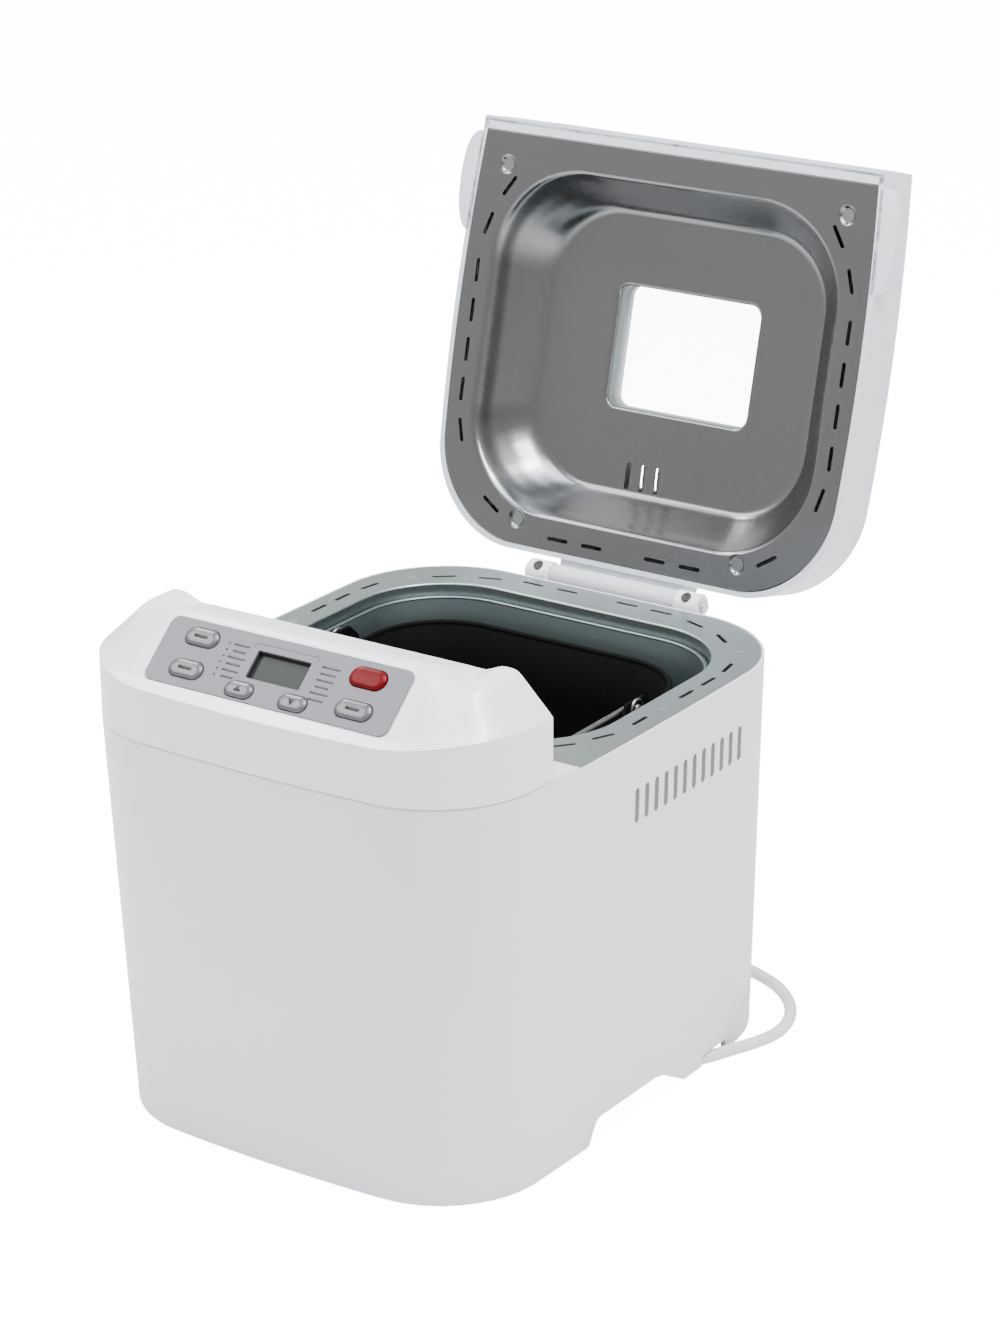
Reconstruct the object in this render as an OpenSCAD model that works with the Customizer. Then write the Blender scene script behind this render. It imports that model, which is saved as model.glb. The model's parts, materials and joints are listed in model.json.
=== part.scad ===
// Household bread machine: drafted plastic housing with a sloping control
// console, a metal oven tub under a slotted deck, a lift-out pan with a bail
// and a kneading paddle, a belt drive, and a hinged lid with a window.
// Lengths are millimetres, +Z is up, the front faces -Y.

/* [Housing] */
// Width of the housing at the deck
body_w = 226; // [222:1:232]
// Depth of the housing at the deck
body_d = 278; // [274:1:284]
// Height of the metal deck above the table
deck_z = 190; // [186:1:200]
// Wall of the moulded shells
wall = 2.5; // [2:0.1:3]
// How far each side leans in from deck to table
side_draft = 5.2; // [0:0.1:7]
// How far the front leans in from deck to table
front_draft = 7.5; // [0:0.1:9]
// How far the front bows out at its middle
front_bulge = 6.4; // [0:0.1:8]
// How far the sides bow out at their widest
side_bulge = 2.85; // [0:0.05:4]
// Plan radius of the front corners
front_r = 52; // [44:1:56]
// Plan radius of the rear corners
rear_r = 56; // [48:1:60]
// Number of cooling slots in each side
vent_count = 12; // [6:1:12]
// Height of the clearance arch in each side of the skirt
arch_h = 13.5; // [8:0.5:16]

/* [Console] */
// Height of the rim where the console's face starts to slope
rim_z = 216.6; // [212:0.1:220]
// Tilt of the control panel from the horizontal
panel_tilt = 41.5; // [38:0.1:44]
// Width of the control panel overlay
panel_w = 130; // [120:1:132]
// Length of the overlay up the slope
panel_h = 32.6; // [30:0.1:33]
// Travel of each key
key_travel = 0.8; // [0.4:0.1:1]

/* [Oven] */
// Half width of the deck opening
hole_hw = 93.5; // [90:0.5:95]
// Half depth of the deck opening
hole_hd = 80.5; // [78:0.5:82]
// Corner radius of the deck opening
hole_r = 46; // [40:1:50]
// Height of the tub floor
tub_z = 40; // [38:1:44]
// Diameter of the heating element
heater_d = 6.5; // [6:0.1:7]

/* [Pan] */
// Half width of the pan's rim
pan_hw = 81; // [78:0.5:82]
// Half depth of the pan's rim
pan_hd = 63.5; // [60:0.5:65]
// Height of the pan's rim when seated
pan_top = 178; // [170:1:180]
// Sheet thickness of the pan
pan_t = 1.2; // [1:0.1:2]
// Wire diameter of the bail
bail_d = 3.2; // [3:0.1:4]
// Reach of the bail from its pivots to its grip
bail_reach = 67; // [66:0.5:68]

/* [Lid] */
// Angle between the shut and the open lid
lid_swing = 104.2; // [90:0.1:106]
// Thickness of the lid from rim to the edge of its top
lid_t = 46; // [40:1:48]
// Depth of the liner's dish
dish_depth = 28; // [20:1:30]
// Half width of the viewing window
window_hw = 40; // [30:0.5:42]
// How far the finger grips stand out of the sides
grip_reach = 10; // [8:0.5:12]

/* [Drive] */
// Teeth on the large pulley
big_teeth = 72; // [60:1:80]
// Teeth on the motor pulley
small_teeth = 12; // [10:1:16]
// Pitch of the toothed belt
belt_pitch = 5; // [4:0.5:5]
// Radius of the drive shaft
shaft_r = 4; // [3:0.5:4]

/* [Cord] */
// Diameter of the power cord
cord_d = 6; // [5:0.5:7]
// Mean radius of the coil's outer turns
coil_r = 36; // [34:1:40]

/* [Hidden] */

half_w = body_w / 2;
half_d = body_d / 2;
// distance from the middle of the housing to the frame's origin
frame_y = 53.4;
// y at which the sides are widest
widest_y = 24;
// housing: skirt bottom, ledge in front of the deck, recess for the deck plate
skirt_z = 1;
ledge_y = -55;
ledge_z = deck_z + 1.7;
plate_t = 1;
flange_t = 2.3;
// console
console_back = -73.5;
console_z = ledge_z + 0.4;
crest_z = 242.6;
panel_y = -130.2;
panel_z = 219.4;
corner_x = 66;
corner_y = -87;
side_top = half_w - 1.6;
// oven centre
oven_y = 34.75;
// hinge axis, shut lid: liner plane and hinge end
hinge_y = 146.8;
hinge_z = deck_z + 0.1;
lid_z = deck_z + 2.1;
lid_back = half_d;
lid_front = -68.1;
liner_front = -61.6;
lid_hw = half_w + 2.2;
lid_r = 47;
pin_r = 2;
window_c = [1.2, 33.9];
window_hd = 29.8;
// pan
pan_floor = 62;
bail_z = pan_top + 4.5;
leg_x = 79.5;
// drive
pulley_z = 18;
pulley_h = 12;
motor_y = -92;
big_r = big_teeth * belt_pitch / (2 * PI);
small_r = small_teeth * belt_pitch / (2 * PI);
belt_gap = 0.35;
belt_t = 1.8;
// cord: the route is measured from the frame's origin
cord_r = cord_d / 2;
cord_route = [[88, -34, 5.5], [92, -25, 5.4], [97, -13, 4.8], [102, -1, 3.8], [107, 11, 3.1],
    [112, 23, 3], [117, 35, 3], [120, 47, 3], [119, 60, 3], [113, 74, 3], [103, 86, 3],
    [90, 95, 3], [74, 101, 3], [57, 105, 3], [39, 108, 3], [21, 110, 3], [4, 110, 3]];
coil_c = [-15, 146];
// from the top of the coil into the plug
cord_tail = [[-19, 110, 8.4], [-28, 110, 9.6], [-37, 110, 13.4], [-46, 110, 17.2], [-50, 110, 18.4]];

// ---------------------------------------------------------------- helpers
module in_frame() {
    translate([0, -frame_y, 0]) children();
}

function lerp(a, b, t) = a + (b - a) * t;
function ease(t) = let (s = min(1, max(0, t))) s * s * (3 - 2 * s);
function arc(c, r, a0, a1, n) =
    [for (i = [0 : n]) let (a = lerp(a0, a1, i / n)) c + r * [cos(a), sin(a)]];
function at_height(ring, z) = [for (p = ring) [p[0], p[1], z]];
function mirrored(half) =
    concat(half, [for (i = [len(half) - 2 : -1 : 1]) [-half[i][0], half[i][1]]]);

// half width at depth y of a plan whose sides bow out by b over half length l about y = w
function side_x(y, hw, b, w, l) = hw - b * pow((y - w) / l, 2);

// plan ring: bowed front, bowed sides, filleted corners, flat back
function plan_ring(hw, yf, yb, rf, rb, fb, b, w, l) =
    let (kf = 2 * fb * (hw - rf) / pow(hw, 2),
         cyf = yf + fb * pow((hw - rf) / hw, 2) + rf * sqrt(1 + kf * kf),
         ks = -2 * b * (cyf - w) / (l * l),
         cxf = side_x(cyf, hw, b, w, l) - rf * sqrt(1 + ks * ks),
         a0 = atan2(-1, kf), a1 = atan2(-ks, 1),
         cyb = yb - rb,
         kb = -2 * b * (cyb - w) / (l * l),
         cxb = side_x(cyb, hw, b, w, l) - rb * sqrt(1 + kb * kb),
         a2 = atan2(-kb, 1),
         xe = cxf + rf * cos(a0), y0 = cyf + rf * sin(a1), y1 = cyb + rb * sin(a2))
    mirrored(concat(
        [for (i = [0 : 4]) let (x = xe * i / 5) [x, yf + fb * pow(x / hw, 2)]],
        arc([cxf, cyf], rf, a0, a1, 9),
        [for (i = [1 : 5]) let (y = lerp(y0, y1, i / 6)) [side_x(y, hw, b, w, l), y]],
        arc([cxb, cyb], rb, a2, 90, 9),
        [[0, yb]]));

// housing outline at height z, moved in by e
function body_ring(z, e) =
    let (t = 1 - z / deck_z)
    plan_ring(half_w - side_draft * t - e, -half_d + front_draft * t + e, half_d - e,
        front_r - e, rear_r - e, front_bulge, side_bulge, widest_y, half_d);

// liner outline moved in by e
function liner_ring(e) =
    plan_ring(half_w - e, liner_front + e, lid_back - 1.9 - e, 2, rear_r - 1.9 - e,
        0, 2.96, 58.4, 120.4);

// half width of the lid shell at depth y
function lid_side(y) = side_x(y, lid_hw, 4.2, 30, 98);

// rounded rectangle ring about (0, oven_y)
function box_ring(hw, hd, r, n, cy) =
    concat(arc([hw - r, cy - hd + r], r, -90, 0, n), arc([hw - r, cy + hd - r], r, 0, 90, n),
        arc([r - hw, cy + hd - r], r, 90, 180, n), arc([r - hw, cy - hd + r], r, 180, 270, n));

// solid through a stack of rings of equal length, counter-clockwise, bottom first
module loft(rings) {
    n = len(rings[0]);
    m = len(rings);
    polyhedron(
        points = [for (r = rings) each r],
        faces = concat(
            [[for (i = [0 : n - 1]) i]],
            [for (k = [0 : m - 2]) for (i = [0 : n - 1])
                let (j = (i + 1) % n) [k * n + i, (k + 1) * n + i, (k + 1) * n + j]],
            [for (k = [0 : m - 2]) for (i = [0 : n - 1])
                let (j = (i + 1) % n) [k * n + i, (k + 1) * n + j, k * n + j]],
            [[for (i = [n - 1 : -1 : 0]) (m - 1) * n + i]]));
}

// solid under a height field: grid[row][column] with rows towards -Y, flat bottom at zb
module field_solid(grid, zb) {
    nr = len(grid);
    nc = len(grid[0]);
    edge = concat([for (i = [0 : nc - 1]) i], [for (j = [1 : nr - 1]) j * nc + nc - 1],
        [for (i = [nc - 2 : -1 : 0]) (nr - 1) * nc + i], [for (j = [nr - 2 : -1 : 1]) j * nc]);
    ne = len(edge);
    flat_points = [for (row = grid) each row];
    top = nr * nc;
    polyhedron(
        points = concat(flat_points,
            [for (k = edge) [flat_points[k][0], flat_points[k][1], zb]]),
        faces = concat(
            [for (j = [0 : nr - 2]) for (i = [0 : nc - 2])
                let (a = j * nc + i) [a, a + 1, a + nc + 1]],
            [for (j = [0 : nr - 2]) for (i = [0 : nc - 2])
                let (a = j * nc + i) [a, a + nc + 1, a + nc]],
            [for (k = [0 : ne - 1]) let (l = (k + 1) % ne)
                [edge[l], edge[k], top + k, top + l]],
            [[for (k = [ne - 1 : -1 : 0]) top + k]]));
}

module rounded_box_2d(hw, hd, r) {
    square([2 * (hw - r), 2 * hd], center = true);
    square([2 * hw, 2 * (hd - r)], center = true);
    for (sx = [-1, 1]) for (sy = [-1, 1])
        translate([sx * (hw - r), sy * (hd - r)]) circle(r = r, $fn = 48);
}

module slot_2d(l, w) {
    square([l - w, w], center = true);
    for (s = [-1, 1]) translate([s * (l - w) / 2, 0]) circle(d = w, $fn = 16);
}

module x_prism(x0, x1) {
    translate([x0, 0, 0]) rotate([90, 0, 90]) linear_extrude(x1 - x0) children();
}

// ---------------------------------------------------------------- housing
vent_pitch = 7.9;
vent_z = 157.5;
vent_y = 34.5;

module vent_slots() {
    for (i = [0 : vent_count - 1])
        translate([0, vent_y + (i - (vent_count - 1) / 2) * vent_pitch, vent_z])
            rotate([90, 0, 90]) linear_extrude(300, center = true) rotate(90) slot_2d(16.4, 2.8);
}

module housing() {
    color("gainsboro") in_frame() difference() {
        loft([at_height(body_ring(skirt_z, 0), skirt_z), at_height(body_ring(ledge_z, 0), ledge_z)]);
        loft([at_height(body_ring(0, wall), 0),
            at_height(body_ring(deck_z - 3.5, wall), deck_z - 3.5)]);
        // deck recess and the opening under it
        intersection() {
            translate([0, 0, deck_z - plate_t - 0.1]) linear_extrude(9)
                polygon(body_ring(deck_z, 1.3));
            translate([-200, ledge_y, 0]) cube([400, 400, 400]);
        }
        intersection() {
            translate([0, 0, deck_z - 8]) linear_extrude(16) polygon(body_ring(deck_z, 15));
            translate([-200, ledge_y + 8, 0]) cube([400, 400, 400]);
        }
        for (p = deck_screw_spots) translate([p[0], p[1], deck_z - 9])
            cylinder(r = screw_r, h = 10, $fn = 24);
        // rim behind the ledge is level with the deck
        translate([-200, ledge_y, deck_z]) cube([400, 400, 20]);
        // open top under the console
        intersection() {
            translate([0, 0, deck_z - 8]) linear_extrude(16) polygon(body_ring(deck_z, wall));
            translate([-200, -400 + console_back - 2.5, 0]) cube([400, 400, 400]);
        }
        vent_slots();
        // clearance arches in the skirt, and the notch for the cord
        x_prism(-150, 150) polygon([[-42, -1], [-34, arch_h], [18, arch_h], [44, -1]]);
        translate([90, 54, -1]) cube([40, 22, 9]);
    }
}

board_x = 66;
board_y = -116;
board_z = 52;
board_l = 52;
board_t = 1.6;
foot_spots = [[80, -98], [-80, -98], [82, 100], [-82, 100]];
base_z = arch_h - 1;

module base_plate() {
    color("dimgray") in_frame() difference() {
        union() {
            translate([0, 0, base_z]) linear_extrude(2.5) polygon(body_ring(base_z, wall + 0.4));
            for (p = foot_spots) translate([p[0], p[1], 4]) cylinder(r = 11, h = base_z - 3, $fn = 40);
            // motor posts
            for (sx = [-1, 1]) for (sy = [-1, 1])
                translate([sx * 40, motor_y + sy * 26, base_z + 2]) cylinder(r = 4.5, h = 16.5, $fn = 32);
            // saddle that carries the cord's strain relief
            translate(cord_route[0] + [0, frame_y, 0]) rotate(cord_dir)
                translate([-14, -8, 1 - cord_route[0][2]]) cube([12, 16, base_z]);
            // slotted posts that hold the power board upright
            for (y = [board_y + 3, board_y + board_l - 9])
                translate([board_x - 4, y, base_z + 2]) cube([9.6, 6, board_z - base_z + 3]);
        }
        translate([board_x, board_y, board_z]) cube([board_t, board_l, 60]);
        // seat of the strain relief
        translate(cord_route[0] + [0, frame_y, 0]) rotate([0, 90, cord_dir])
            translate([0, 0, -20]) cylinder(r = 4.68, h = 40, $fn = 32);
        for (i = [-5 : 5]) translate([i * 9, oven_y + 66, base_z - 1])
            linear_extrude(5) rotate(90) slot_2d(34, 3.5);
        for (i = [-4 : 4]) translate([i * 9, -118, base_z - 1])
            linear_extrude(5) rotate(90) slot_2d(14, 3.5);
        for (p = foot_spots) translate([p[0], p[1], 3]) cylinder(r = 4, h = 6, $fn = 32);
    }
}

module rubber_feet() {
    color("darkslategray") in_frame() for (p = foot_spots) translate([p[0], p[1], 0]) {
        cylinder(r = 9.5, h = 4, $fn = 40);
        cylinder(r = 4, h = 8.5, $fn = 32);
    }
}

// slots of the deck: [x, y, turn from the Y axis]
deck_slots = [[101, 84.5, 10], [102.8, 64.7, 0], [102.8, 46, 0], [102.6, 7.5, 0],
    [99.3, -17, -24], [90.2, -35, -40], [79, 115.3, 52], [58.4, 125, 70], [36.5, 130, 90],
    [17, 130.4, 90]];
deck_screw_spots = [[103, 27], [-103, 27], [93.5, 107.5], [-93.5, 107.5]];
screw_r = 1.6;

module deck_plate() {
    color("silver") in_frame() {
        difference() {
            translate([0, 0, deck_z - plate_t]) linear_extrude(plate_t) difference() {
                intersection() {
                    polygon(body_ring(deck_z, 1.7));
                    polygon([[-106, ledge_y + 0.4], [106, ledge_y + 0.4], [114, ledge_y + 5],
                        [114, 150], [-114, 150], [-114, ledge_y + 5]]);
                }
                translate([0, oven_y]) rounded_box_2d(hole_hw, hole_hd, hole_r);
                for (s = deck_slots) for (m = [0, 1]) mirror([m, 0])
                    translate([s[0], s[1]]) rotate(90 + s[2]) slot_2d(12, 2);
            }
            for (p = deck_screw_spots) translate([p[0], p[1], deck_z - 4])
                cylinder(r = 2, h = 8, $fn = 24);
        }
        // turned-down edge of the opening
        translate([0, oven_y, deck_z - 5.8]) linear_extrude(5) difference() {
            rounded_box_2d(hole_hw + 1, hole_hd + 1, hole_r + 1);
            rounded_box_2d(hole_hw, hole_hd, hole_r);
        }
    }
}

module deck_screws() {
    color("lightgray") in_frame() for (p = deck_screw_spots) translate([p[0], p[1], 0]) {
        translate([0, 0, deck_z]) cylinder(r1 = 3.4, r2 = 2.6, h = 0.7, $fn = 32);
        translate([0, 0, deck_z - 8]) cylinder(r = screw_r, h = 8, $fn = 24);
    }
}

// ---------------------------------------------------------------- oven
tub_hw = hole_hw - 2.2;
tub_hd = hole_hd - 2.2;
tub_r = hole_r - 2;
lip_z = deck_z - 6;

module oven_tub() {
    color("darkslategray") in_frame() difference() {
        translate([0, oven_y, 0]) {
            translate([0, 0, tub_z]) linear_extrude(lip_z - tub_z) rounded_box_2d(tub_hw, tub_hd, tub_r);
            // rolled lip under the deck's turned-down edge
            translate([0, 0, lip_z - 2]) linear_extrude(1.9)
                rounded_box_2d(tub_hw + 1.8, tub_hd + 1.8, tub_r + 1.8);
        }
        translate([0, oven_y, tub_z + 1]) linear_extrude(200)
            rounded_box_2d(tub_hw - 1, tub_hd - 1, tub_r - 1);
        translate([0, oven_y, tub_z - 1]) cylinder(r = 14, h = 4, $fn = 48);
        // holes for the element's cold ends and the probe
        for (s = [-1, 1]) translate([s * 16, -50, heater_z]) rotate([-90, 0, 0])
            cylinder(d = heater_d + 0.6, h = 20, $fn = 32);
        translate([40, -50, probe_z]) rotate([-90, 0, 0]) cylinder(r = 3.2, h = 20, $fn = 32);
    }
}

heater_z = 64;
heater_hw = 84;
heater_hd = 71;
heater_r = 40;
probe_z = 96;

module quarter_bend(a) {
    rotate(a) rotate_extrude(angle = 90, $fn = 64) translate([heater_r, 0]) circle(d = heater_d, $fn = 20);
}

module rod(p, q, r) {
    d = q - p;
    l = norm(d);
    translate(p) rotate([0, acos(d[2] / l), atan2(d[1], d[0])]) cylinder(r = r, h = l, $fn = 24);
}

module heating_element() {
    hr = heater_d / 2;
    cx = heater_hw - heater_r;
    cy = heater_hd - heater_r;
    color("dimgray") in_frame() translate([0, oven_y, heater_z]) {
        translate([cx, cy, 0]) quarter_bend(0);
        translate([-cx, cy, 0]) quarter_bend(90);
        translate([-cx, -cy, 0]) quarter_bend(180);
        translate([cx, -cy, 0]) quarter_bend(270);
        rod([-cx, heater_hd, 0], [cx, heater_hd, 0], hr);
        for (s = [-1, 1]) {
            rod([s * heater_hw, -cy, 0], [s * heater_hw, cy, 0], hr);
            rod([s * cx, -heater_hd, 0], [s * 16, -heater_hd, 0], hr);
            // cold ends through the tub's front wall
            translate([s * 16, -heater_hd, 0]) sphere(r = hr, $fn = 24);
            rod([s * 16, -heater_hd, 0], [s * 16, -heater_hd - 22, 0], hr);
        }
    }
}

module heater_clips() {
    color("silver") in_frame() {
        // saddles on the tub's side walls that the element rests in
        for (m = [0, 1]) mirror([m, 0, 0]) for (y = [oven_y - 22, oven_y + 22])
            translate([heater_hw, y, heater_z]) difference() {
                translate([-2.4, -4, -heater_d / 2 - 1.6]) cube([tub_hw - 1 - heater_hw + 2.4, 8, 5]);
                translate([0, -5, 0]) rotate([-90, 0, 0]) cylinder(d = heater_d, h = 10, $fn = 24);
            }
    }
}

module temperature_probe() {
    color("lightsteelblue") in_frame() translate([40, 0, probe_z]) rotate([-90, 0, 0]) {
        translate([0, 0, -58]) cylinder(r = 2.8, h = 27, $fn = 24);
        translate([0, 0, -31]) sphere(r = 2.8, $fn = 20);
        translate([0, 0, -51]) cylinder(r = 6, h = 3, $fn = 6);
    }
}

module pan_socket() {
    color("silver") in_frame() translate([0, oven_y, tub_z + 1]) {
        difference() {
            cylinder(r = 43, h = 2, $fn = 72);
            translate([0, 0, -1]) cylinder(r = 14, h = 4, $fn = 48);
        }
        difference() {
            cylinder(r = 32.5, h = 9, $fn = 72);
            translate([0, 0, -1]) cylinder(r = 30.5, h = 12, $fn = 72);
        }
        // sprung side leaves that grip the pan's base ring
        for (a = [0, 180]) socket_leaf(a);
    }
}

module socket_leaf(turn) {
    rotate(turn) rotate([90, 0, 0]) linear_extrude(22, center = true)
        polygon([[38, 1.9], [42.5, 1.9], [42.5, 3.2], [39.6, 4.4], [38.8, 10.5], [40.8, 16.4], [39.8, 16.8],
            [37.2, 10.5], [37.4, 3]]);
}

// ---------------------------------------------------------------- drive
module bearing_housing() {
    color("silver") in_frame() translate([0, oven_y, 0]) difference() {
        union() {
            translate([0, 0, 31.5]) cylinder(r = 9.5, h = tub_z - 31.5, $fn = 48);
            translate([0, 0, tub_z - 2.5]) cylinder(r = 26, h = 2.4, $fn = 64);
            for (a = [0 : 60 : 300]) rotate(a) translate([8, -1, tub_z - 6]) cube([16, 2, 4]);
        }
        translate([0, 0, 30]) cylinder(r = 6.5, h = 20, $fn = 48);
        for (a = [30 : 120 : 270]) rotate(a) translate([21, 0, 30]) cylinder(r = 2, h = 20, $fn = 24);
    }
}

module shaft_bush() {
    color("goldenrod") in_frame() translate([0, oven_y, 31]) difference() {
        cylinder(r = 6.5, h = 10.5, $fn = 48);
        translate([0, 0, -1]) cylinder(r = shaft_r + 0.04, h = 14, $fn = 48);
    }
}

module drive_shaft() {
    color("lightsteelblue") in_frame() translate([0, oven_y, 15.5])
        cylinder(r = shaft_r, h = 30.5, $fn = 48);
}

// two-jaw dog clutch: hub with two upright jaws, in reach of the pan's wing
module drive_coupling() {
    color("gray") in_frame() translate([0, oven_y, 42.2]) difference() {
        union() {
            cylinder(r = 12.5, h = 4, $fn = 48);
            for (a = [0, 180]) rotate(a) translate([6.6, 4.4, 3]) cube([5, 5, 6.5]);
        }
        translate([0, 0, -1]) cylinder(r = shaft_r, h = 4.8, $fn = 48);
    }
}

// toothed pulley outline: one trapezoid tooth per pitch
function tooth_ring(n, r, h) = [for (i = [0 : n - 1]) let (a = 360 / n)
    each [for (t = [[0.08, -h], [0.2, 0], [0.6, 0], [0.72, -h]])
        (r + t[1]) * [cos((i + t[0]) * a), sin((i + t[0]) * a)]]];

module toothed_pulley(n, r, bore) {
    difference() {
        union() {
            linear_extrude(pulley_h) polygon(tooth_ring(n, r, 1.6));
            linear_extrude(1.2) circle(r = r + 1.6, $fn = 96);
        }
        translate([0, 0, -1]) cylinder(r = bore, h = pulley_h + 2, $fn = 48);
        children();
    }
}

module drive_pulley() {
    color("ivory") in_frame() translate([0, oven_y, pulley_z])
        toothed_pulley(big_teeth, big_r, shaft_r) {
            // six windows between the spokes, above the web
            for (a = [0 : 60 : 300]) rotate(a + 30) translate([0, 0, -1])
                linear_extrude(pulley_h + 2) intersection() {
                    difference() {
                        circle(r = big_r - 7, $fn = 96);
                        circle(r = 15, $fn = 64);
                    }
                    polygon([[8, 2], [80, 38], [80, -38], [8, -2]]);
                }
        }
}

module motor_pulley() {
    color("lightsteelblue") in_frame() translate([0, motor_y, 0]) {
        translate([0, 0, pulley_z]) toothed_pulley(small_teeth, small_r, 2.5);
        translate([0, 0, pulley_z - 1.5]) cylinder(r = 2.5, h = 24, $fn = 32);
    }
}

// loop round both pulleys, e outside their teeth
function belt_ring(e) =
    let (lean = asin((big_r - small_r) / (oven_y - motor_y)))
    concat(arc([0, oven_y], big_r + e, -lean, 180 + lean, 40),
        arc([0, motor_y], small_r + e, 180 + lean, 360 - lean, 12));

module drive_belt() {
    color("black") in_frame() translate([0, 0, pulley_z + 1.8]) linear_extrude(pulley_h - 3) difference() {
        polygon(belt_ring(belt_gap + belt_t));
        polygon(belt_ring(belt_gap));
    }
}

module motor() {
    color("slategray") in_frame() translate([0, motor_y, 0]) difference() {
        union() {
            translate([-29, -29, 50]) cube([58, 58, 24]);
            translate([0, 0, 34.5]) cylinder(r = 21, h = 58, $fn = 64);
            translate([0, 0, 33.5]) cylinder(r = 27, h = 2.5, $fn = 64);
        }
        translate([0, 0, 30]) cylinder(r = 6, h = 20, $fn = 32);
        for (sx = [-1, 1]) for (sy = [-1, 1])
            translate([sx * 24, sy * 24, 40]) cylinder(r = 2, h = 40, $fn = 24);
    }
}

module motor_coils() {
    color("chocolate") in_frame() translate([0, motor_y, 0]) for (z = [39, 74.2]) translate([0, 0, z])
        difference() {
            cylinder(r = 26.5, h = 10.8, $fn = 48);
            translate([0, 0, -1]) cylinder(r = 21.2, h = 14, $fn = 64);
        }
}

module motor_plate() {
    color("lightsteelblue") in_frame() translate([0, motor_y, 31.2]) linear_extrude(2) difference() {
        rounded_box_2d(46, 32, 6);
        circle(r = 12, $fn = 48);
        for (sx = [-1, 1]) for (sy = [-1, 1]) translate([sx * 40, sy * 26]) circle(r = 2, $fn = 24);
    }
}

module run_capacitor() {
    color("whitesmoke") in_frame() translate([-66, -84, 22]) {
        cylinder(r = 12.5, h = 42, $fn = 40);
        for (s = [-1, 1]) translate([s * 4 - 0.4, -2.5, 42]) cube([0.8, 5, 7]);
        // cable-tie foot on the base plate
        translate([0, 0, -6.9]) cylinder(r = 9, h = 6.9, $fn = 32);
    }
}

module power_board() {
    color("darkgreen") in_frame() translate([board_x, board_y, board_z]) {
        cube([board_t, board_l, 60]);
        // relay, transformer and smoothing capacitor
        translate([-16, 12, 8]) cube([16, 19, 15]);
        translate([-20, 28, 28]) cube([20, 18, 22]);
        translate([-8, 10, 44]) rotate([0, 90, 0]) cylinder(r = 5, h = 8, $fn = 24);
    }
}

// ---------------------------------------------------------------- console
module on_panel() {
    translate([0, panel_y, panel_z]) rotate([panel_tilt, 0, 0]) children();
}

// heights across the console from its front edge back, and in from its side
front_profile = [[0, rim_z], [8.9, panel_z], [33.4, 241.1], [36, 242.4], [39, crest_z], [43, 242.2],
    [50, 239.9], [58, 236.9], [65.6, 234.7]];
side_profile = [[0, 219.6], [1.5, 221.4], [20, 237.2], [22, 238], [29, 238.2], [33, 237], [39, 234.6],
    [53, 234.4]];
corner_d = half_d + corner_y;

function console_height(x, y) =
    let (s = corner_d / (side_top - corner_x), qx = (abs(x) - corner_x) * s, qy = corner_y - y,
         ahead = lookup(y + half_d, front_profile))
    qx <= 0 ? ahead :
    let (d = corner_d - (qy > 0 ? norm([qx, qy]) : qx),
         side = lerp(lookup(d, side_profile), ahead, ease((d - 36) / 16)),
         w = qy > 0 ? ease(atan2(qx, qy) / 90) : 1)
    lerp(lookup(d, front_profile), side, w);

// front edge of the housing outline at x
function front_y(x) =
    let (cx = side_top - front_r - 0.4,
         yf = -half_d + front_bulge * pow(min(abs(x), cx) / half_w, 2))
    abs(x) <= cx ? yf : yf + front_r - sqrt(max(0, pow(front_r, 2) - pow(abs(x) - cx, 2)));

console_turns = [0, 8, 17, 26, 36, 46, 56, 66, 76, 84, 90];
console_x = let (cx = side_top - front_r)
    concat([0, 15, 30, 43, 52], [for (a = console_turns) cx + front_r * sin(a)]);
console_rows = [0, 5, 11, 17, 22.5, 26.5, 29.6, 32.1, 40, 48, 56.6, 61, 65.5];

function console_grid(e) =
    let (xs = concat([for (i = [len(console_x) - 1 : -1 : 1]) -console_x[i]], console_x),
         k = (side_top - e) / side_top)
    [for (r = console_rows) [for (x = xs)
        let (xi = x * k, y0 = console_back - e, y1 = front_y(x) + e,
             y = lerp(y0, y1, r / 65.5))
        [xi, y, console_height(xi, y) - 1.3 * e]]];

module stadium_2d(w, h) {
    square([w - h, h], center = true);
    for (s = [-1, 1]) translate([s * (w - h) / 2, 0]) circle(d = h, $fn = 40);
}

// keys: [x, distance up the panel, width, height]
menu_key = [-45, 24.6, 17.6, 8.6];
loaf_key = [-45, 8.6, 17.6, 8.6];
up_key = [-14.3, 5.2, 14.6, 7.6];
down_key = [14.3, 5.2, 14.6, 7.6];
start_key = [44, 24.4, 18.6, 9.6];
crust_key = [44.5, 8.8, 18.6, 8.6];
keys = [menu_key, loaf_key, up_key, down_key, start_key, crust_key];
lcd_c = [-0.4, 18.4];
lcd_w = 28.6;
lcd_h = 13.8;

key_gap = 0.35;
board_depth = -11;

module panel_openings(gap) {
    for (k = keys) translate([k[0], k[1]]) stadium_2d(k[2] + 2 * gap, k[3] + 2 * gap);
    translate(lcd_c) square([lcd_w, lcd_h], center = true);
}

// the cover is open behind the panel, whose inner tray fills the opening
module tray_2d(gap) {
    translate([0, panel_h / 2]) rounded_box_2d(panel_w / 2 - 3 + gap, panel_h / 2 - 0.6 + gap, 3 + gap);
}

module console_cover() {
    color("whitesmoke") in_frame() difference() {
        field_solid(console_grid(0), console_z);
        field_solid(console_grid(wall), console_z - 5);
        on_panel() translate([0, 0, -9]) linear_extrude(18) tray_2d(0.1);
    }
}

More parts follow.
